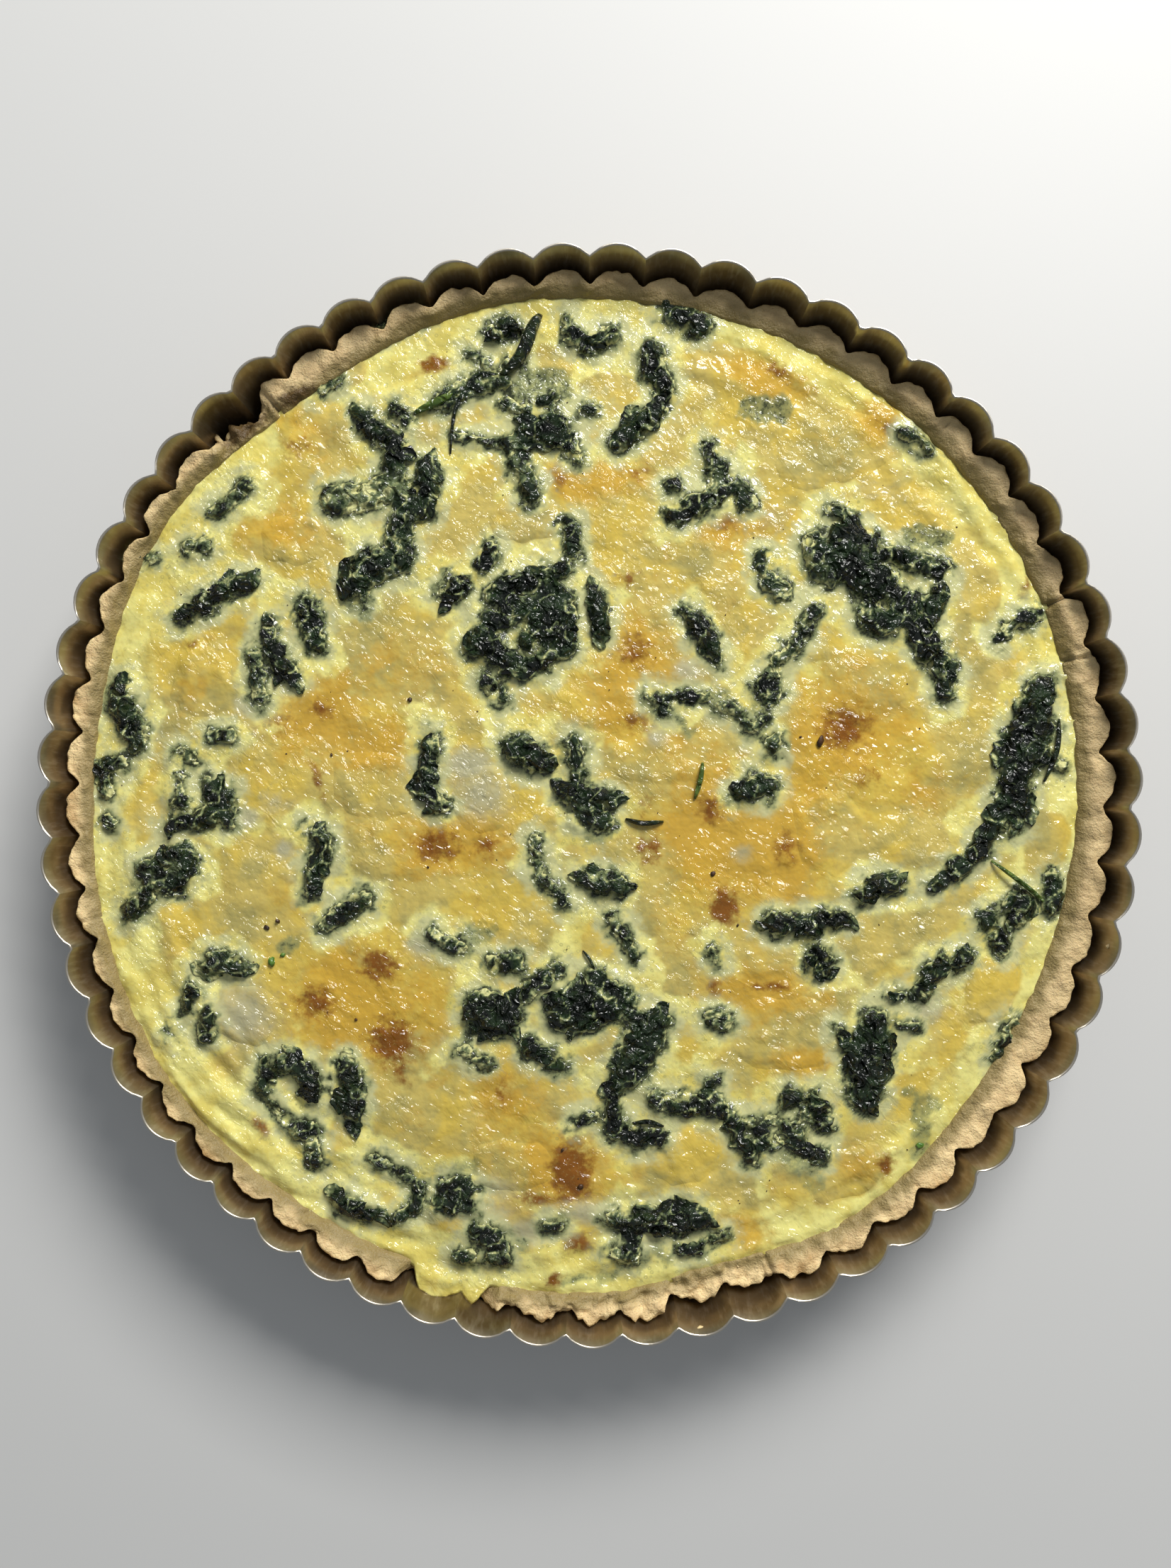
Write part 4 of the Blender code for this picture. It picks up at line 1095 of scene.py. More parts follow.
CRACKS = (
    Crack(22.6, 0.5, 1.6, 6.0), Crack(15.6, 0.35, 0.9, -5.0), Crack(194.0, 0.3, 0.6, 4.0),
    Crack(236.0, 0.3, 0.8, 0.0), Crack(291.0, 0.5, 1.0, 5.0), Crack(310.0, 0.3, 0.6, 0.0),
    Crack(171.0, 0.3, 0.6, -3.0), Crack(129.0, 0.6, 1.4, 0.0), Crack(46.0, 0.3, 0.5, 3.0),
)


# Broken places on the rim: rougher crumb in the shape, and a dark colour that is torn pastry with painted shade
# of the pocket.
BROKEN = (
    Spot(-78, 83, 6.5, 4.0, 40, 1.3), Spot(-65, 88.7, 5.5, 2.2, 20), Spot(-71, 86, 4, 3, 35, 0.5),
)


@dataclass
class PastryCase:
    """Shortcrust case: the solid's section all round, with sandy, crumbling lobes."""

    edge: CustardEdge
    columns: int = 1440
    custard_gap: float = 0.4
    shares: tuple = (0.0, 0.07, 0.15, 0.24, 0.33, 0.42, 0.51, 0.60, 0.69, 0.78, 0.86, 0.92, 0.965, 0.99)
    finish: PastryFinish = field(default_factory=lambda: PastryFinish("shortcrust"))

    def __post_init__(self) -> None:
        """Measure the solid's section at every column."""
        tree = solid_tree("crust")
        self.grain = Grain(5)
        self.angles = np.arange(self.columns + 1) * math.tau / self.columns
        rows = [self._section(tree, angle) for angle in self.angles[:-1]]
        radii = np.array([row[0] for row in rows])
        heights = np.array([row[1] for row in rows])
        for values in (radii, heights):
            smooth = sum(np.roll(values, k, axis=0) * (2 - abs(k)) for k in (-1, 0, 1)) / 4
            values[:] = smooth
        self.radii = np.vstack((radii, radii[:1]))
        self.heights = np.vstack((heights, heights[:1]))

    def _section(self, tree: BVHTree, angle: float) -> tuple:
        """Radii and heights in mm from the outer foot, over the crown, to the inner foot."""
        outward = Vector((math.cos(angle), math.sin(angle), 0.0))

        def side(height: float) -> float:
            """Outer radius at a height."""
            hit = tree.ray_cast(outward * OVERHEAD * 2 + UP * height * MM, -outward)[0]
            return math.hypot(hit.x, hit.y) / MM

        low, high = side(6.0), side(16.5)
        slope = (high - low) / 10.5
        inner = float(self.edge.radius(angle)) + self.custard_gap
        outer = high + slope * 4.0
        crown = []
        for share in self.shares:
            radius = inner + (outer - inner) * share
            hit = tree.ray_cast(outward * radius * MM + UP * OVERHEAD, DOWN)[0]
            crown.append((radius, hit.z / MM if hit and hit.z > 0.015 else 17.0))
        shoulder = crown[-1][1] - 0.9
        foot = [(low - slope * 5.0, 1.0), (low, 6.0), (high + slope * (shoulder - 18.5), shoulder - 2.0),
                (high + slope * (shoulder - 16.5), shoulder)]
        inside = [(inner - 0.4, crown[0][1] - 1.0), (102.9, 4.9)]
        section = foot + crown[::-1] + inside
        return [p[0] for p in section], [p[1] for p in section]

    def build(self) -> bpy.types.Object:
        """Make the pastry case."""
        levels = self.radii.shape[1] - 1

        def place(across: np.ndarray, along: np.ndarray) -> tuple:
            """Points of the section, roughened like baked crumb."""
            column = np.round(across * self.columns).astype(int) % self.columns
            level = np.round(along * levels).astype(int)
            angle = self.angles[column]
            radius, height = self.radii[column, level], self.heights[column, level]
            crown = ease(level, 2, 4) * ease(level, levels - 1, levels - 3)
            outer = ease(level, 2, 4) * ease(level, 11, 6)
            arc = angle * 114.0
            seam = 0.5 - 0.5 * np.cos(angle)
            crumble = 1.0 + 2.2 * np.exp(-((np.degrees(angle) - 273) / 20) ** 2)
            crumble = crumble + 2.0 * self.broken(radius * np.cos(angle), radius * np.sin(angle))
            coarse = self.grain.at(arc, radius + height, 3.4, 2) * ease(np.sin(angle / 2), 0, 0.02)
            lump = self.grain.at(arc, radius * 1.3 + 40, 1.5, 2) * ease(seam, 0, 0.0005)
            radius = radius + outer * crumble * (0.30 * coarse + 0.10 * lump)
            height = height + crown * (crumble * (0.34 * coarse + 0.12 * lump) + 0.25)
            for crack in CRACKS:
                slant = math.tan(math.radians(crack.slant))
                line = (np.degrees(angle) - crack.degrees) * 2.0 - (radius - 113) * slant
                line = line + 0.35 * self.grain.at(arc, radius, 2.0)
                height = height - crown * crack.depth * np.exp(-((line / crack.width) ** 2))
            return polar(angle, radius, height)

        builder = bmesh.new()
        laid_grid(builder, self.columns, levels, place, rolled=True)
        close_holes(builder)
        return finish_piece("pastry_case", builder, self.finish.material(), ("crust",), self.masks)

    @staticmethod
    def broken(x: np.ndarray, y: np.ndarray) -> np.ndarray:
        """How far the pastry is broken open, from 0 to about 1."""
        return np.max([spot.glow(x, y) for spot in BROKEN], axis=0)

    def masks(self, x: np.ndarray, y: np.ndarray, z: np.ndarray) -> dict:
        """Where the pastry is toasted on its lobes, greasy beside the custard, darkened by painted shade on its
        side toward the key light, and broken open, with painted shade in the broken pocket.
        """
        angle = np.arctan2(y, x) % math.tau
        radius = np.hypot(x, y)
        inner = self.edge.radius(angle)
        patch = self.grain.at(x, y, 12.0, 2)
        grease = ease(radius - inner + 0.9 * self.grain.at(x, y, 4.0, 2), 4.2, 1.4)
        # painted shade: strongest round the key light's heading, where the rim's slopes face away from the light
        damp = ease(np.cos(angle - math.radians(48)), -0.2, 0.7) * (0.75 + 0.4 * self.grain.at(x, y, 7.0, 2))
        toast = ease(patch + 0.4 * self.grain.at(x, y, 2.0), 0.25, 1.1) * ease(radius - inner, 1.5, 4.0)
        return {"grease": grease * 0.8, "toast": toast * 0.6, "damp": damp * 0.85, "torn": self.broken(x, y)}


# --- The baked top -------------------------------------------------------------------

@dataclass
class BakedTop:
    """The custard's skin with everything that melted into it, over the filling's solid."""

    edge: CustardEdge
    relief: Relief
    leaves: LeafMap
    slices: list
    cells: int = 300
    tuck: float = 1.3
    foot_radius: float = 102.5
    foot_height: float = 4.9

    def __post_init__(self) -> None:
        """Set up the grain of the masks."""
        self.grain = Grain(29)

    def surface(self, x: np.ndarray, y: np.ndarray) -> np.ndarray:
        """The skin's height, bedded up round the leaves and rolled down at its edge."""
        angle = np.arctan2(y, x) % math.tau
        out = np.hypot(x, y) - self.edge.radius(angle)
        gap = self.leaves.gap(x, y)
        bed = 0.60 * ease(gap, 2.4, -0.6) * (0.75 + 0.7 * self.grain.at(x, y, 2.4, 2))
        height = self.relief.height(x, y) + bed
        roll = ease(out, -1.6, self.tuck)
        creep = 0.75 * self.grain.at(x, y, 5.0, 2) + 0.25 * self.grain.at(x, y, 1.8, 2)
        return height * (1 - roll) + (self.edge.height(angle) - 0.35 + creep) * roll

    def build(self) -> bpy.types.Object:
        """Make the top as one closed body down to the pastry floor."""
        def place(across: np.ndarray, along: np.ndarray) -> tuple:
            """Square to disc, out to the custard's edge."""
            a, b = 2 * across - 1, 2 * along - 1
            x, y = a * np.sqrt(1 - b * b / 2), b * np.sqrt(1 - a * a / 2)
            angle = np.arctan2(y, x) % math.tau
            radius = np.hypot(x, y)
            reach = 108.0 + (self.edge.radius(angle) + self.tuck - 108.0) * ease(radius, 0.86, 1.0)
            x, y = radius * reach * np.cos(angle), radius * reach * np.sin(angle)
            return x, y, self.surface(x, y)

        def sink(spot: Vector) -> Vector:
            """The underside: flat, on the pastry floor."""
            shrink = min(1.0, self.foot_radius * MM / max(math.hypot(spot.x, spot.y), 1e-6))
            return Vector((spot.x * shrink, spot.y * shrink, self.foot_height * MM))

        builder = bmesh.new()
        laid_grid(builder, self.cells, self.cells, place)
        close_flat(builder, [e for e in builder.edges if e.is_boundary], sink)
        return finish_piece("baked_custard", builder, TopFinish("custard_skin").material(),
                            ("filling",), self.masks)

    def masks(self, x: np.ndarray, y: np.ndarray, z: np.ndarray) -> dict:
        """How melted, amber, toasted, milky, shaded by leaf and porous each place is."""
        gap, torn = self.leaves.gap(x, y), self.leaves.torn(x, y)
        radius = np.hypot(x, y)
        warp = 0.16 * self.grain.at(x, y, 6.0, 2)
        spread = gap + 5.5 * self.grain.at(x, y, 11.0, 3)
        melted = 0.92 * ease(spread, 1.0, 5.5) * ease(radius + 3 * self.grain.at(x, y, 9.0), 107, 98)
        for melt in list(MELTS) + self.slices:
            melted = np.maximum(melted, ease(melt.reach(x, y, 2.6) + warp, 1.2, 0.8))
        bare = ease(gap, 0.5, 3.0)
        amber = sum(spot.glow(x, y) for spot in AMBERS)
        amber = amber + 0.30 * melted * ease(self.grain.at(x + 40, y, 11.0, 3), 0.05, 0.6)
        toast = np.max([spot.glow(x, y) for spot in TOASTS], axis=0)
        milky = np.max([spot.glow(x, y) for spot in MILKS], axis=0)
        haze = ease(gap, 6.5, 0.3) * (0.75 + 0.6 * self.grain.at(x + 17, y, 6.0, 2))
        shade = np.maximum(0.9 * ease(torn, 1.9, -0.2), 0.30 * ease(gap, 4.5, 0.0))
        for scrap in SUNKEN:
            under = stroke_gap(x, y, scrap.width, scrap.points) + 0.9 * self.grain.at(x, y, 2.6, 2)
            shade = np.maximum(shade, scrap.film * 0.8 * ease(under, 1.0, -1.2))
        return {
            "cheese": melted * (0.35 + 0.65 * bare),
            "amber": np.clip(amber, 0, 1) * ease(gap, 0.6, 3.5),
            "toast": toast * ease(gap, 0.0, 2.0),
            "milky": milky,
            "haze": haze * ease(gap, -2.0, 0.5),
            "shade": shade,
            "pores": ease(gap, 9.0, 2.0) * (1 - melted),
            "crinkle": ease(self.grain.at(x, y, 15.0, 2), -0.5, 0.4),
        }


@dataclass
class CheeseSlice:
    """One half melted slice: a low soft plateau that dips under the skin at its edge."""

    node: str
    top: BakedTop
    cells: int = 44
    spread: float = 1.12
    rise: float = 0.42
    dip: float = 0.40

    def __post_init__(self) -> None:
        """Read the slice's oval from its solid."""
        points = np.array([v.co[:2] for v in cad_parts[self.node].data.vertices]) / MM
        centre = (points.max(axis=0) + points.min(axis=0)) / 2
        values, vectors = np.linalg.eigh(np.cov((points - centre).T))
        long_way = vectors[:, 1]
        along = np.abs((points - centre) @ long_way).max()
        across = np.abs((points - centre) @ vectors[:, 0]).max()
        heading = math.degrees(math.atan2(long_way[1], long_way[0]))
        self.spot = Spot(centre[0], centre[1], along * self.spread, across * self.spread, heading)

    def build(self) -> bpy.types.Object:
        """Make the slice."""
        angle = math.radians(self.spot.heading)

        def place(across: np.ndarray, along: np.ndarray) -> tuple:
            """Square to oval, over the skin."""
            a, b = 2 * across - 1, 2 * along - 1
            u = a * np.sqrt(1 - b * b / 3) * self.spot.length * 1.22
            v = b * np.sqrt(1 - a * a / 3) * self.spot.width * 1.22
            x = self.spot.x + u * math.cos(angle) - v * math.sin(angle)
            y = self.spot.y + u * math.sin(angle) + v * math.cos(angle)
            reach = self.spot.reach(x, y, 2.6) + 0.12 * self.top.grain.at(x, y, 6.0, 2)
            lift = (self.rise + self.dip) * ease(reach, 1.22, 0.62) - self.dip
            lift = lift + 0.06 * self.top.grain.at(x, y, 2.2, 2)
            return x, y, self.top.surface(x, y) + lift - 0.25 * ease(reach, 1.1, 1.3)

        builder = bmesh.new()
        laid_grid(builder, self.cells, self.cells, place)
        close_below(builder, list(builder.faces), lambda vert: vert.co - UP * 1.2 * MM)
        name = self.node + "_melt"
        return finish_piece(name, builder, TopFinish(name).material(), (self.node,),
                            self.top.masks)


# --- Spinach ---------------------------------------------------------------------------

@dataclass
class LeafBed:
    """Crumpled spinach set in the custard: makes one patch of it at a time.

    A patch is a fine sheet that stands over the skin where there is leaf and dips under it
    where there is none, so that its margins and holes are as ragged as torn leaves.
    """

    top: BakedTop
    pitch: float = 0.42
    margin: float = 2.0
    dip: float = 0.75
    underside: float = 17.2

    def __post_init__(self) -> None:
        """Set up the grain of the creases."""
        self.grain = Grain(47)

    def height(self, x: np.ndarray, y: np.ndarray, heading: float) -> np.ndarray:
        """Height of crumpled leaf in mm, folded along a heading in degrees."""
        leaves = self.top.leaves
        inside = -leaves.torn(x, y)
        emerge = ease(inside, -0.45, 0.75)
        bend_x = x + 1.1 * self.grain.at(x, y, 4.5, 2)
        bend_y = y + 1.1 * self.grain.at(x + 31, y, 4.5, 2)
        fold = 1 - 2.0 * np.abs(self.grain.at(bend_x, bend_y, 3.6, 1, 1.9, heading))
        crease = 1 - 2.0 * np.abs(self.grain.at(bend_x + 9, bend_y, 1.7, 2, 1.7, heading + 25))
        lift = leaves.rise.at(x, y) * ease(inside, -0.3, 1.8)
        crumple = lift * (0.55 + 0.45 * fold) + 0.34 * crease
        return self.top.surface(x, y) - self.dip + emerge * (self.dip + 0.12 + crumple)

    def patch(self, builder: bmesh.types.BMesh, box: tuple, heading: float, own_gap: Callable) -> None:
        """Add one patch.

        Args:
            builder: the bmesh to add to.
            box: low x, low y, high x and high y of its spinach in mm.
            heading: direction of its folds in degrees.
            own_gap: gives the distance in mm to this patch's own spinach.
        """
        low_x, low_y = box[0] - self.margin, box[1] - self.margin
        size_x, size_y = box[2] + self.margin - low_x, box[3] + self.margin - low_y

        def place(across: np.ndarray, along: np.ndarray) -> tuple:
            """The patch's rectangle over the custard."""
            x, y = low_x + across * size_x, low_y + along * size_y
            away = own_gap(x, y)
            z = self.height(x, y, heading)
            z = z - 0.12 * ease(away, 0.0, 0.5) - 2.4 * ease(away, 1.0, 2.0)
            return x, y, z

        verts = laid_grid(builder, math.ceil(size_x / self.pitch), math.ceil(size_y / self.pitch), place)
        rim = list({edge for vert in verts for edge in vert.link_edges if edge.is_boundary})
        close_flat(builder, rim, lambda spot: Vector((spot.x, spot.y, self.underside * MM)))

    def masks(self, x: np.ndarray, y: np.ndarray, z: np.ndarray) -> dict:
        """How far custard film covers each place: most where leaf lies low."""
        lift = z - self.top.surface(x, y)
        dense = self.top.leaves.dense.at(x, y)
        film = 0.75 * ease(lift, 0.9, 0.0) + 0.36 * self.grain.at(x, y, 5.0, 2)
        film = film + 0.55 * self.top.leaves.veil.at(x, y) * (1 - dense)
        web = ease(np.abs(self.grain.at(x + 23, y, 6.0, 2)), 0.16, 0.0) * (0.75 - 0.35 * dense)
        return {"film": np.maximum(film, web + 0.25 * film)}


@dataclass
class TornLeaf:
    """Makes single torn leaves that lie on the crumpled bed with their edges free."""

    bed: LeafBed
    thickness: float = 0.20
    cell: float = 0.5

    def add(self, builder: bmesh.types.BMesh, spot: tuple, heading: float, length: float,
            width: float, chance: random.Random) -> None:
        """Add one leaf.

        Args:
            builder: the bmesh to add to.
            spot: centre in mm.
            heading: direction of its length in radians.
            length, width: in mm.
            chance: source of its uneven shape.
        """
        grain = self.bed.grain
        bow, drift = chance.uniform(-0.25, 0.25) * length, chance.uniform(0, 90)
        point, curl = chance.uniform(-0.4, 0.4), chance.uniform(0.1, 0.6)

        def place(across: np.ndarray, along: np.ndarray) -> tuple:
            """A pointed oval with a torn margin, folded along its length."""
            u, v = 2 * along - 1, 2 * across - 1
            taper = np.sqrt(np.clip(1 - np.abs(u + point * (1 - u * u)) ** 2.2, 0, 1)) + 0.08
            torn = 1 + 0.40 * grain.at(u * length / 2 + drift, np.sign(v) * 9, 1.8, 2)
            side = v * width / 2 * taper * torn + bow * (u * u - 0.5)
            forth = u * length / 2 * (1 + 0.14 * grain.at(v * 4, u * 4 + drift, 1.5))
            x = spot[0] + forth * math.cos(heading) - side * math.sin(heading)
            y = spot[1] + forth * math.sin(heading) + side * math.cos(heading)
            lift = self.bed.top.leaves.rise.at(x, y) * 0.72
            lift = lift + curl * np.maximum(np.abs(v) ** 2, u ** 4) + 0.2 * (1 - np.abs(v))
            crease = 0.30 * grain.at(x, y, 1.6, 2, 1.8, math.degrees(heading))
            return x, y, self.bed.top.surface(x, y) + lift + crease

        cells_along, cells_across = max(6, round(length / self.cell)), max(4, round(width / self.cell))
        verts = laid_grid(builder, cells_across, cells_along, place)
        faces = list({face for vert in verts for face in vert.link_faces})
        bmesh.ops.recalc_face_normals(builder, faces=faces)
        for vert in verts:
            vert.normal_update()
        close_below(builder, faces, lambda vert: vert.co - vert.normal * self.thickness * MM)


@dataclass
class SpinachClump:
    """A clump over its solid: crumpled bed and a few torn leaves free on top."""

    node: str
    leaf: TornLeaf
    seed: int
    spacing: float = 4.4

    def __post_init__(self) -> None:
        """Read the clump's outline and heading from its solid."""
        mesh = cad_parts[self.node].data
        self.chance = random.Random(self.seed)
        flat = [Vector((v.co.x, v.co.y, 0.0)) for v in mesh.vertices]
        self.tree = BVHTree.FromPolygons(flat, [p.vertices for p in mesh.polygons])
        points = np.array([v[:2] for v in flat]) / MM
        values, vectors = np.linalg.eigh(np.cov(points.T))
        self.heading = math.atan2(vectors[1, 1], vectors[0, 1])
        self.long = values[1] / max(values[0], 1e-6) > 2.5
        self.box = (*points.min(axis=0), *points.max(axis=0))

    def own_gap(self, x: np.ndarray, y: np.ndarray) -> np.ndarray:
        """Distance in mm to this clump's solid, seen from above."""
        found = (self.tree.find_nearest(Vector((a, b, 0.0)), 3 * MM)[3] for a, b in zip(x * MM, y * MM))
        return np.array([3.0 if away is None else away / MM for away in found])

    def build(self, finish: bpy.types.Material) -> bpy.types.Object:
        """Make the clump."""
        builder = bmesh.new()
        self.leaf.bed.patch(builder, self.box, math.degrees(self.heading), self.own_gap)
        for x, y in self._spots():
            slack = 0.5 if self.long else 1.5
            width = self.chance.uniform(1.8, 3.6)
            self.leaf.add(builder, (x, y), self.heading + self.chance.uniform(-slack, slack),
                          width * self.chance.uniform(1.5, 2.6), width, self.chance)
        return finish_piece(self.node + "_leaves", builder, finish, (self.node,),
                            self.leaf.bed.masks)

    def _spots(self) -> list:
        """Places for free leaves, a few mm apart and well within the clump."""
        spread = np.random.default_rng(self.seed).uniform(size=(2, 240))
        x = self.box[0] + (self.box[2] - self.box[0]) * spread[0]
        y = self.box[1] + (self.box[3] - self.box[1]) * spread[1]
        inside = (self.own_gap(x, y) < 0.05) & (self.leaf.bed.top.leaves.torn(x, y) < -0.4)
        kept: list = []
        for spot in zip(x[inside], y[inside]):
            if all(math.hypot(spot[0] - a, spot[1] - b) > self.spacing for a, b in kept):
                kept.append(spot)
        return kept


@dataclass
class SpinachScraps:
    """All the small torn bits between the clumps, as one piece; its leaf's bed is laid coarser."""

    leaf: TornLeaf
    seed: int = 71

    def build(self, finish: bpy.types.Material) -> bpy.types.Object:
        """Make the scraps."""
        chance = random.Random(self.seed)
        builder = bmesh.new()
        for scrap in SCRAPS:
            points = np.array(scrap.points)
            ahead = points[-1] - points[0]
            half = scrap.width / 2
            box = (*(points.min(axis=0) - half), *(points.max(axis=0) + half))

            def own_gap(x: np.ndarray, y: np.ndarray) -> np.ndarray:
                """Distance in mm to this scrap."""
                return np.maximum(stroke_gap(x, y, scrap.width, scrap.points), 0.0)

            self.leaf.bed.patch(builder, box, math.degrees(math.atan2(ahead[1], ahead[0])), own_gap)
            if scrap.film < 0.25 and chance.random() < 0.7:
                middle = tuple(points[len(points) // 2] if len(points) > 2 else points.mean(axis=0))
                heading = math.atan2(ahead[1], ahead[0]) + chance.uniform(-0.5, 0.5)
                width = min(scrap.width, 3.5) * chance.uniform(0.6, 0.9)
                self.leaf.add(builder, middle, heading, width * chance.uniform(1.4, 2.4), width, chance)
        return finish_piece("spinach_scraps", builder, finish, (), self.leaf.bed.masks)


def smooth_spine(points: tuple, shares: np.ndarray) -> np.ndarray:
    """Points at shares of the way along a smooth curve through a spine."""
    knots = np.array(points, dtype=float)
    knots = np.vstack((2 * knots[0] - knots[1], knots, 2 * knots[-1] - knots[-2]))
    place = np.clip(shares, 0, 1 - 1e-9) * (len(points) - 1)
    span = place.astype(int)
    t = (place - span)[:, None]
    before, start, stop, after = (knots[span + k] for k in range(4))
    return 0.5 * (2 * start + (stop - before) * t + (2 * before - 5 * start + 4 * stop - after) * t ** 2
                  + (3 * start - before - 3 * stop + after) * t ** 3)


@dataclass
class StemBundle:
    """Thin stems and strands that lie on the custard or arch over it."""

    top: BakedTop
    sides: int = 8
    cells: int = 26

    def build(self, name: str, green: bool, finish: bpy.types.Material) -> bpy.types.Object:
        """Make the stems of one colour as one piece."""
        builder = bmesh.new()
        for stem in (s for s in STEMS if s.green == green):
            self._stem(builder, stem)
        close_holes(builder)
        return finish_piece(name, builder, finish)

    def _stem(self, builder: bmesh.types.BMesh, stem: Stem) -> None:
        """Add one stem, thin at both ends."""
        def place(across: np.ndarray, along: np.ndarray) -> tuple:
            """A round tube along the spine."""
            middle = smooth_spine(stem.points, along)
            ahead = smooth_spine(stem.points, along + 0.01) - smooth_spine(stem.points, along - 0.01)
            ahead = ahead / np.linalg.norm(ahead, axis=1)[:, None]
            turn = across * math.tau
            radius = stem.width / 2 * (0.25 + 0.75 * np.sin(np.pi * np.clip(along, 0.02, 0.98)) ** 0.5)
            ground = self.top.relief.height(middle[:, 0], middle[:, 1])
            x = middle[:, 0] - ahead[:, 1] * radius * np.cos(turn)
            y = middle[:, 1] + ahead[:, 0] * radius * np.cos(turn)
            lift = stem.lift * np.sin(np.pi * along) ** 0.7
            return x, y, ground + 0.1 + lift + radius * (0.6 + 0.8 * np.sin(turn))

        laid_grid(builder, self.sides, self.cells, place, rolled=True)


CRUMBS = (
    Fleck(-56, -105, 2.0), Fleck(24, -116.5, 1.8), Fleck(-4, -118.6, 1.5), Fleck(114, -33, 1.4),
    Fleck(24.5, -107.5, 3.0), Fleck(33, -104.5, 2.6), Fleck(104, 47, 1.8), Fleck(108, 38, 2.0),
    Fleck(-83, 79.5, 2.6), Fleck(-79.5, 80, 3.2), Fleck(-77, 78.6, 2.2), Fleck(-67, 95.4, 2.0),
    Fleck(-81, 77.8, 1.6), Fleck(57, -102.5, 1.2), Fleck(-30, -114, 1.2), Fleck(86, -77, 1.3),
)


@dataclass
class Sprinkle:
    """Scattered bits: each a small uneven lump set a little into what it lies on."""

    name: str
    slot: Slot
    finish: bpy.types.Material
    seed: int

    def build(self, bits: list) -> bpy.types.Object:
        """Make the bits.

        Args:
            bits: (x, y, height of what is under it, size) for each, in mm.

        Returns:
            One piece with all the bits.
        """
        chance = random.Random(self.seed)
        builder = bmesh.new()
        for x, y, ground, size in bits:
            matrix = Matrix.Translation(Vector((x, y, ground + size * 0.12)) * MM)
            turn = Matrix.Rotation(chance.uniform(0, math.tau), 4, (chance.random(), chance.random(), 1.0))
            stretch = Matrix.Diagonal((chance.uniform(0.8, 1.3), chance.uniform(0.6, 1.0),
                                       chance.uniform(0.4, 0.7), 1.0))
            made = bmesh.ops.create_icosphere(builder, subdivisions=1 if size < 1.2 else 2,
                                              radius=size / 2 * MM, matrix=matrix @ turn @ stretch)["verts"]
            centre = matrix.translation
            for vert in made:
                vert.co = centre + (vert.co - centre) * chance.uniform(0.75, 1.25)
        return finish_piece(self.name, builder, self.finish)


# --- Studio ------------------------------------------------------------------------------

@dataclass
class Studio:
    """Pale floor, a soft window-like key from one side, a dim sky and the camera."""

    camera_offset: tuple = (-0.9, 2.6)
    camera_height: float = 255.0
    lens: float = 27.05
    key_heading: float = 66.0
    key_rise: float = 37.0
    key_distance: float = 1.1
    key_power: float = 15.5
    key_size: float = 0.55
    sky: float = 0.27
    floor_size: float = 6.0
    floor_colour: Colour = (0.66, 0.66, 0.65)

    def build(self) -> None:
        """Set up floor, lights, sky and camera."""
        low, high = CAD_BOX
        middle = (low + high) / 2
        self._floor(low.z)
        angle, rise = math.radians(self.key_heading), math.radians(self.key_rise)
        toward = Vector((math.cos(angle) * math.cos(rise), math.sin(angle) * math.cos(rise), math.sin(rise)))
        lamp = bpy.data.lights.new("key", "AREA")
        lamp.shape = "RECTANGLE"
        lamp.size, lamp.size_y = self.key_size, self.key_size * 0.7
        lamp.energy = self.key_power
        lamp.color = (1.0, 0.985, 0.955)
        holder = bpy.data.objects.new("key", lamp)
        holder.location = middle + toward * self.key_distance
        holder.rotation_euler = toward.to_track_quat("Z", "Y").to_euler()
        bpy.context.scene.collection.objects.link(holder)
        world = bpy.context.scene.world or bpy.data.worlds.new("studio")
        bpy.context.scene.world = world
        world.use_nodes = True
        sky = world.node_tree.nodes["Background"]
        sky.inputs["Color"].default_value = (0.90, 0.95, 1.0, 1.0)
        sky.inputs["Strength"].default_value = self.sky
        camera = bpy.data.objects.new("camera", bpy.data.cameras.new("camera"))
        camera.data.lens = self.lens
        camera.data.clip_start = 0.01
        camera.location = (middle.x + self.camera_offset[0] * MM, middle.y + self.camera_offset[1] * MM,
                           high.z + self.camera_height * MM)
        bpy.context.scene.collection.objects.link(camera)
        bpy.context.scene.camera = camera
        bpy.context.scene.view_settings.view_transform = "Standard"

    def _floor(self, height: float) -> None:
        """A wide pale floor just under the tin."""
        builder = bmesh.new()
        bmesh.ops.create_grid(builder, x_segments=1, y_segments=1, size=self.floor_size / 2,
                              matrix=Matrix.Translation((0, 0, height - 0.2 * MM)))
        mesh = bpy.data.meshes.new("floor")
        builder.to_mesh(mesh)
        builder.free()
        bench = Bench("floor")
        mesh.materials.append(bench.finish({"Base Color": self.floor_colour, "Roughness": 0.6}))
        floor = bpy.data.objects.new("floor", mesh)
        bpy.context.scene.collection.objects.link(floor)


def crumb_height(radius: float) -> float:
    """Height in mm of what a loose crumb lies on: the pastry's rim, or the tin's wall beyond it."""
    return 18.6 if radius < 115.5 else 28.0 - (119.6 - radius) * 4.0


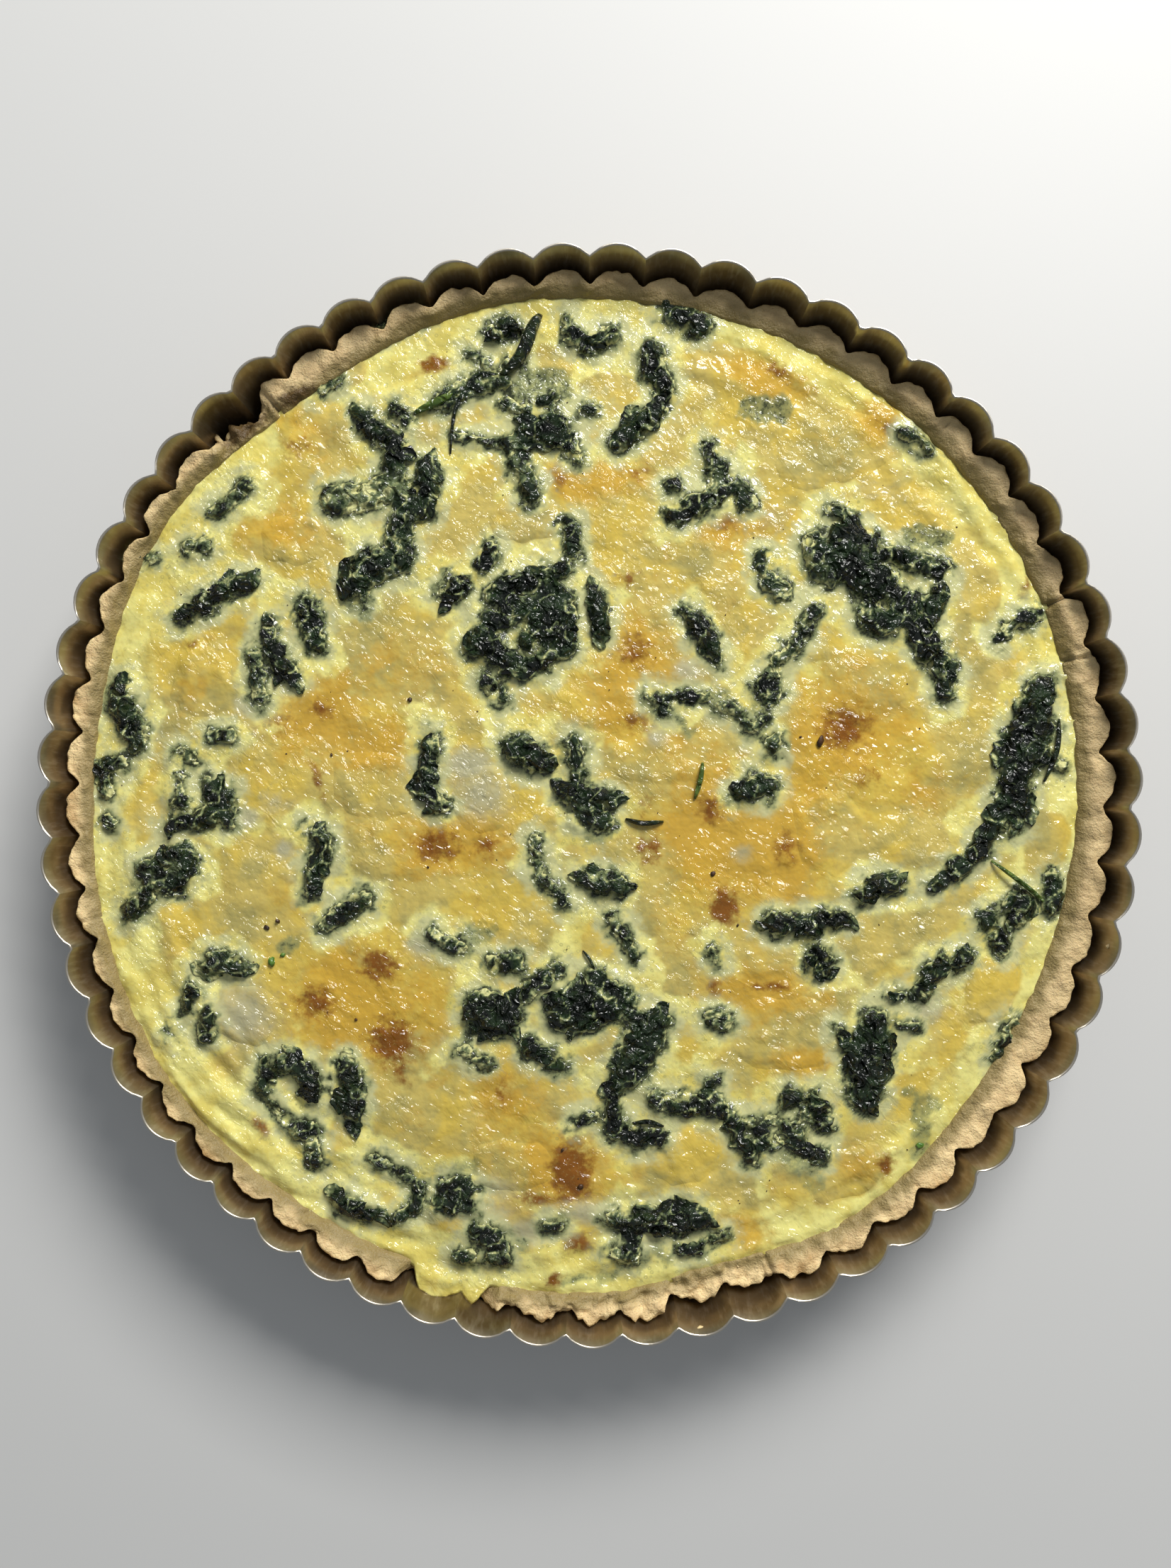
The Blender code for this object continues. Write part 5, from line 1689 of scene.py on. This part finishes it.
def scatter_flecks(top: BakedTop, seed: int, count: int, low: float, high: float) -> list:
    """Random small bits over the top: places, heights and sizes in mm."""
    chance = random.Random(seed)
    x, y, sizes = [], [], []
    for _ in range(count):
        angle, radius = chance.uniform(0, math.tau), 106 * math.sqrt(chance.random())
        x.append(radius * math.cos(angle))
        y.append(radius * math.sin(angle))
        sizes.append(chance.uniform(low, high))
    ground = top.relief.height(np.array(x), np.array(y))
    return list(zip(x, y, ground, sizes))


def main() -> None:
    """Dress the whole quiche and set up the studio."""
    logging.basicConfig(level=logging.INFO, format="%(message)s")
    names = sorted(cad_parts)
    spinach = [n for n in names if n.startswith("spinach_")]
    cheese = [n for n in names if n.startswith("cheese_")]
    filling = solid_tree("filling")
    edge = CustardEdge(filling)
    relief = Relief(filling, edge)
    top = BakedTop(edge, relief, LeafMap(spinach, relief), [])
    slices = [CheeseSlice(node, top) for node in cheese]
    top.slices = [one.spot for one in slices]
    FlutedTin().build()
    PastryCase(edge).build()
    top.build()
    for one in slices:
        one.build()
    torn = TornLeaf(LeafBed(top))
    leaf = LeafFinish("wet_spinach").material()
    for number, node in enumerate(spinach):
        SpinachClump(node, torn, 100 + number).build(leaf)
    SpinachScraps(TornLeaf(LeafBed(top, 0.52))).build(leaf)
    crumbs = [(c.x, c.y, crumb_height(math.hypot(c.x, c.y)), c.size) for c in CRUMBS]
    Sprinkle("pastry_crumbs", Slot.PASTRY, PastryFinish("loose_crumb").material(), 6).build(crumbs)
    stems = StemBundle(top)
    stems.build("dark_stems", False, leaf)
    green = LeafFinish("green_stem", (0.05, 0.09, 0.012), (0.11, 0.17, 0.03))
    stems.build("green_stems", True, green.material())
    char = FleckFinish("charred", (0.02, 0.008, 0.003), (0.07, 0.03, 0.01), 0.4).material()
    named = [(f.x, f.y, float(relief.height(np.array([f.x]), np.array([f.y]))[0]), f.size) for f in CHARS]
    Sprinkle("charred_bits", Slot.CUSTARD, char, 3).build(named + scatter_flecks(top, 13, 110, 0.2, 0.5))
    pea = FleckFinish("green_snippet", (0.05, 0.14, 0.012), (0.12, 0.24, 0.04), 0.3).material()
    named = [(f.x, f.y, float(relief.height(np.array([f.x]), np.array([f.y]))[0]), f.size) for f in PEAS]
    Sprinkle("green_snippets", Slot.SPINACH, pea, 4).build(named)
    Studio().build()


if __name__ == "__main__":
    main()
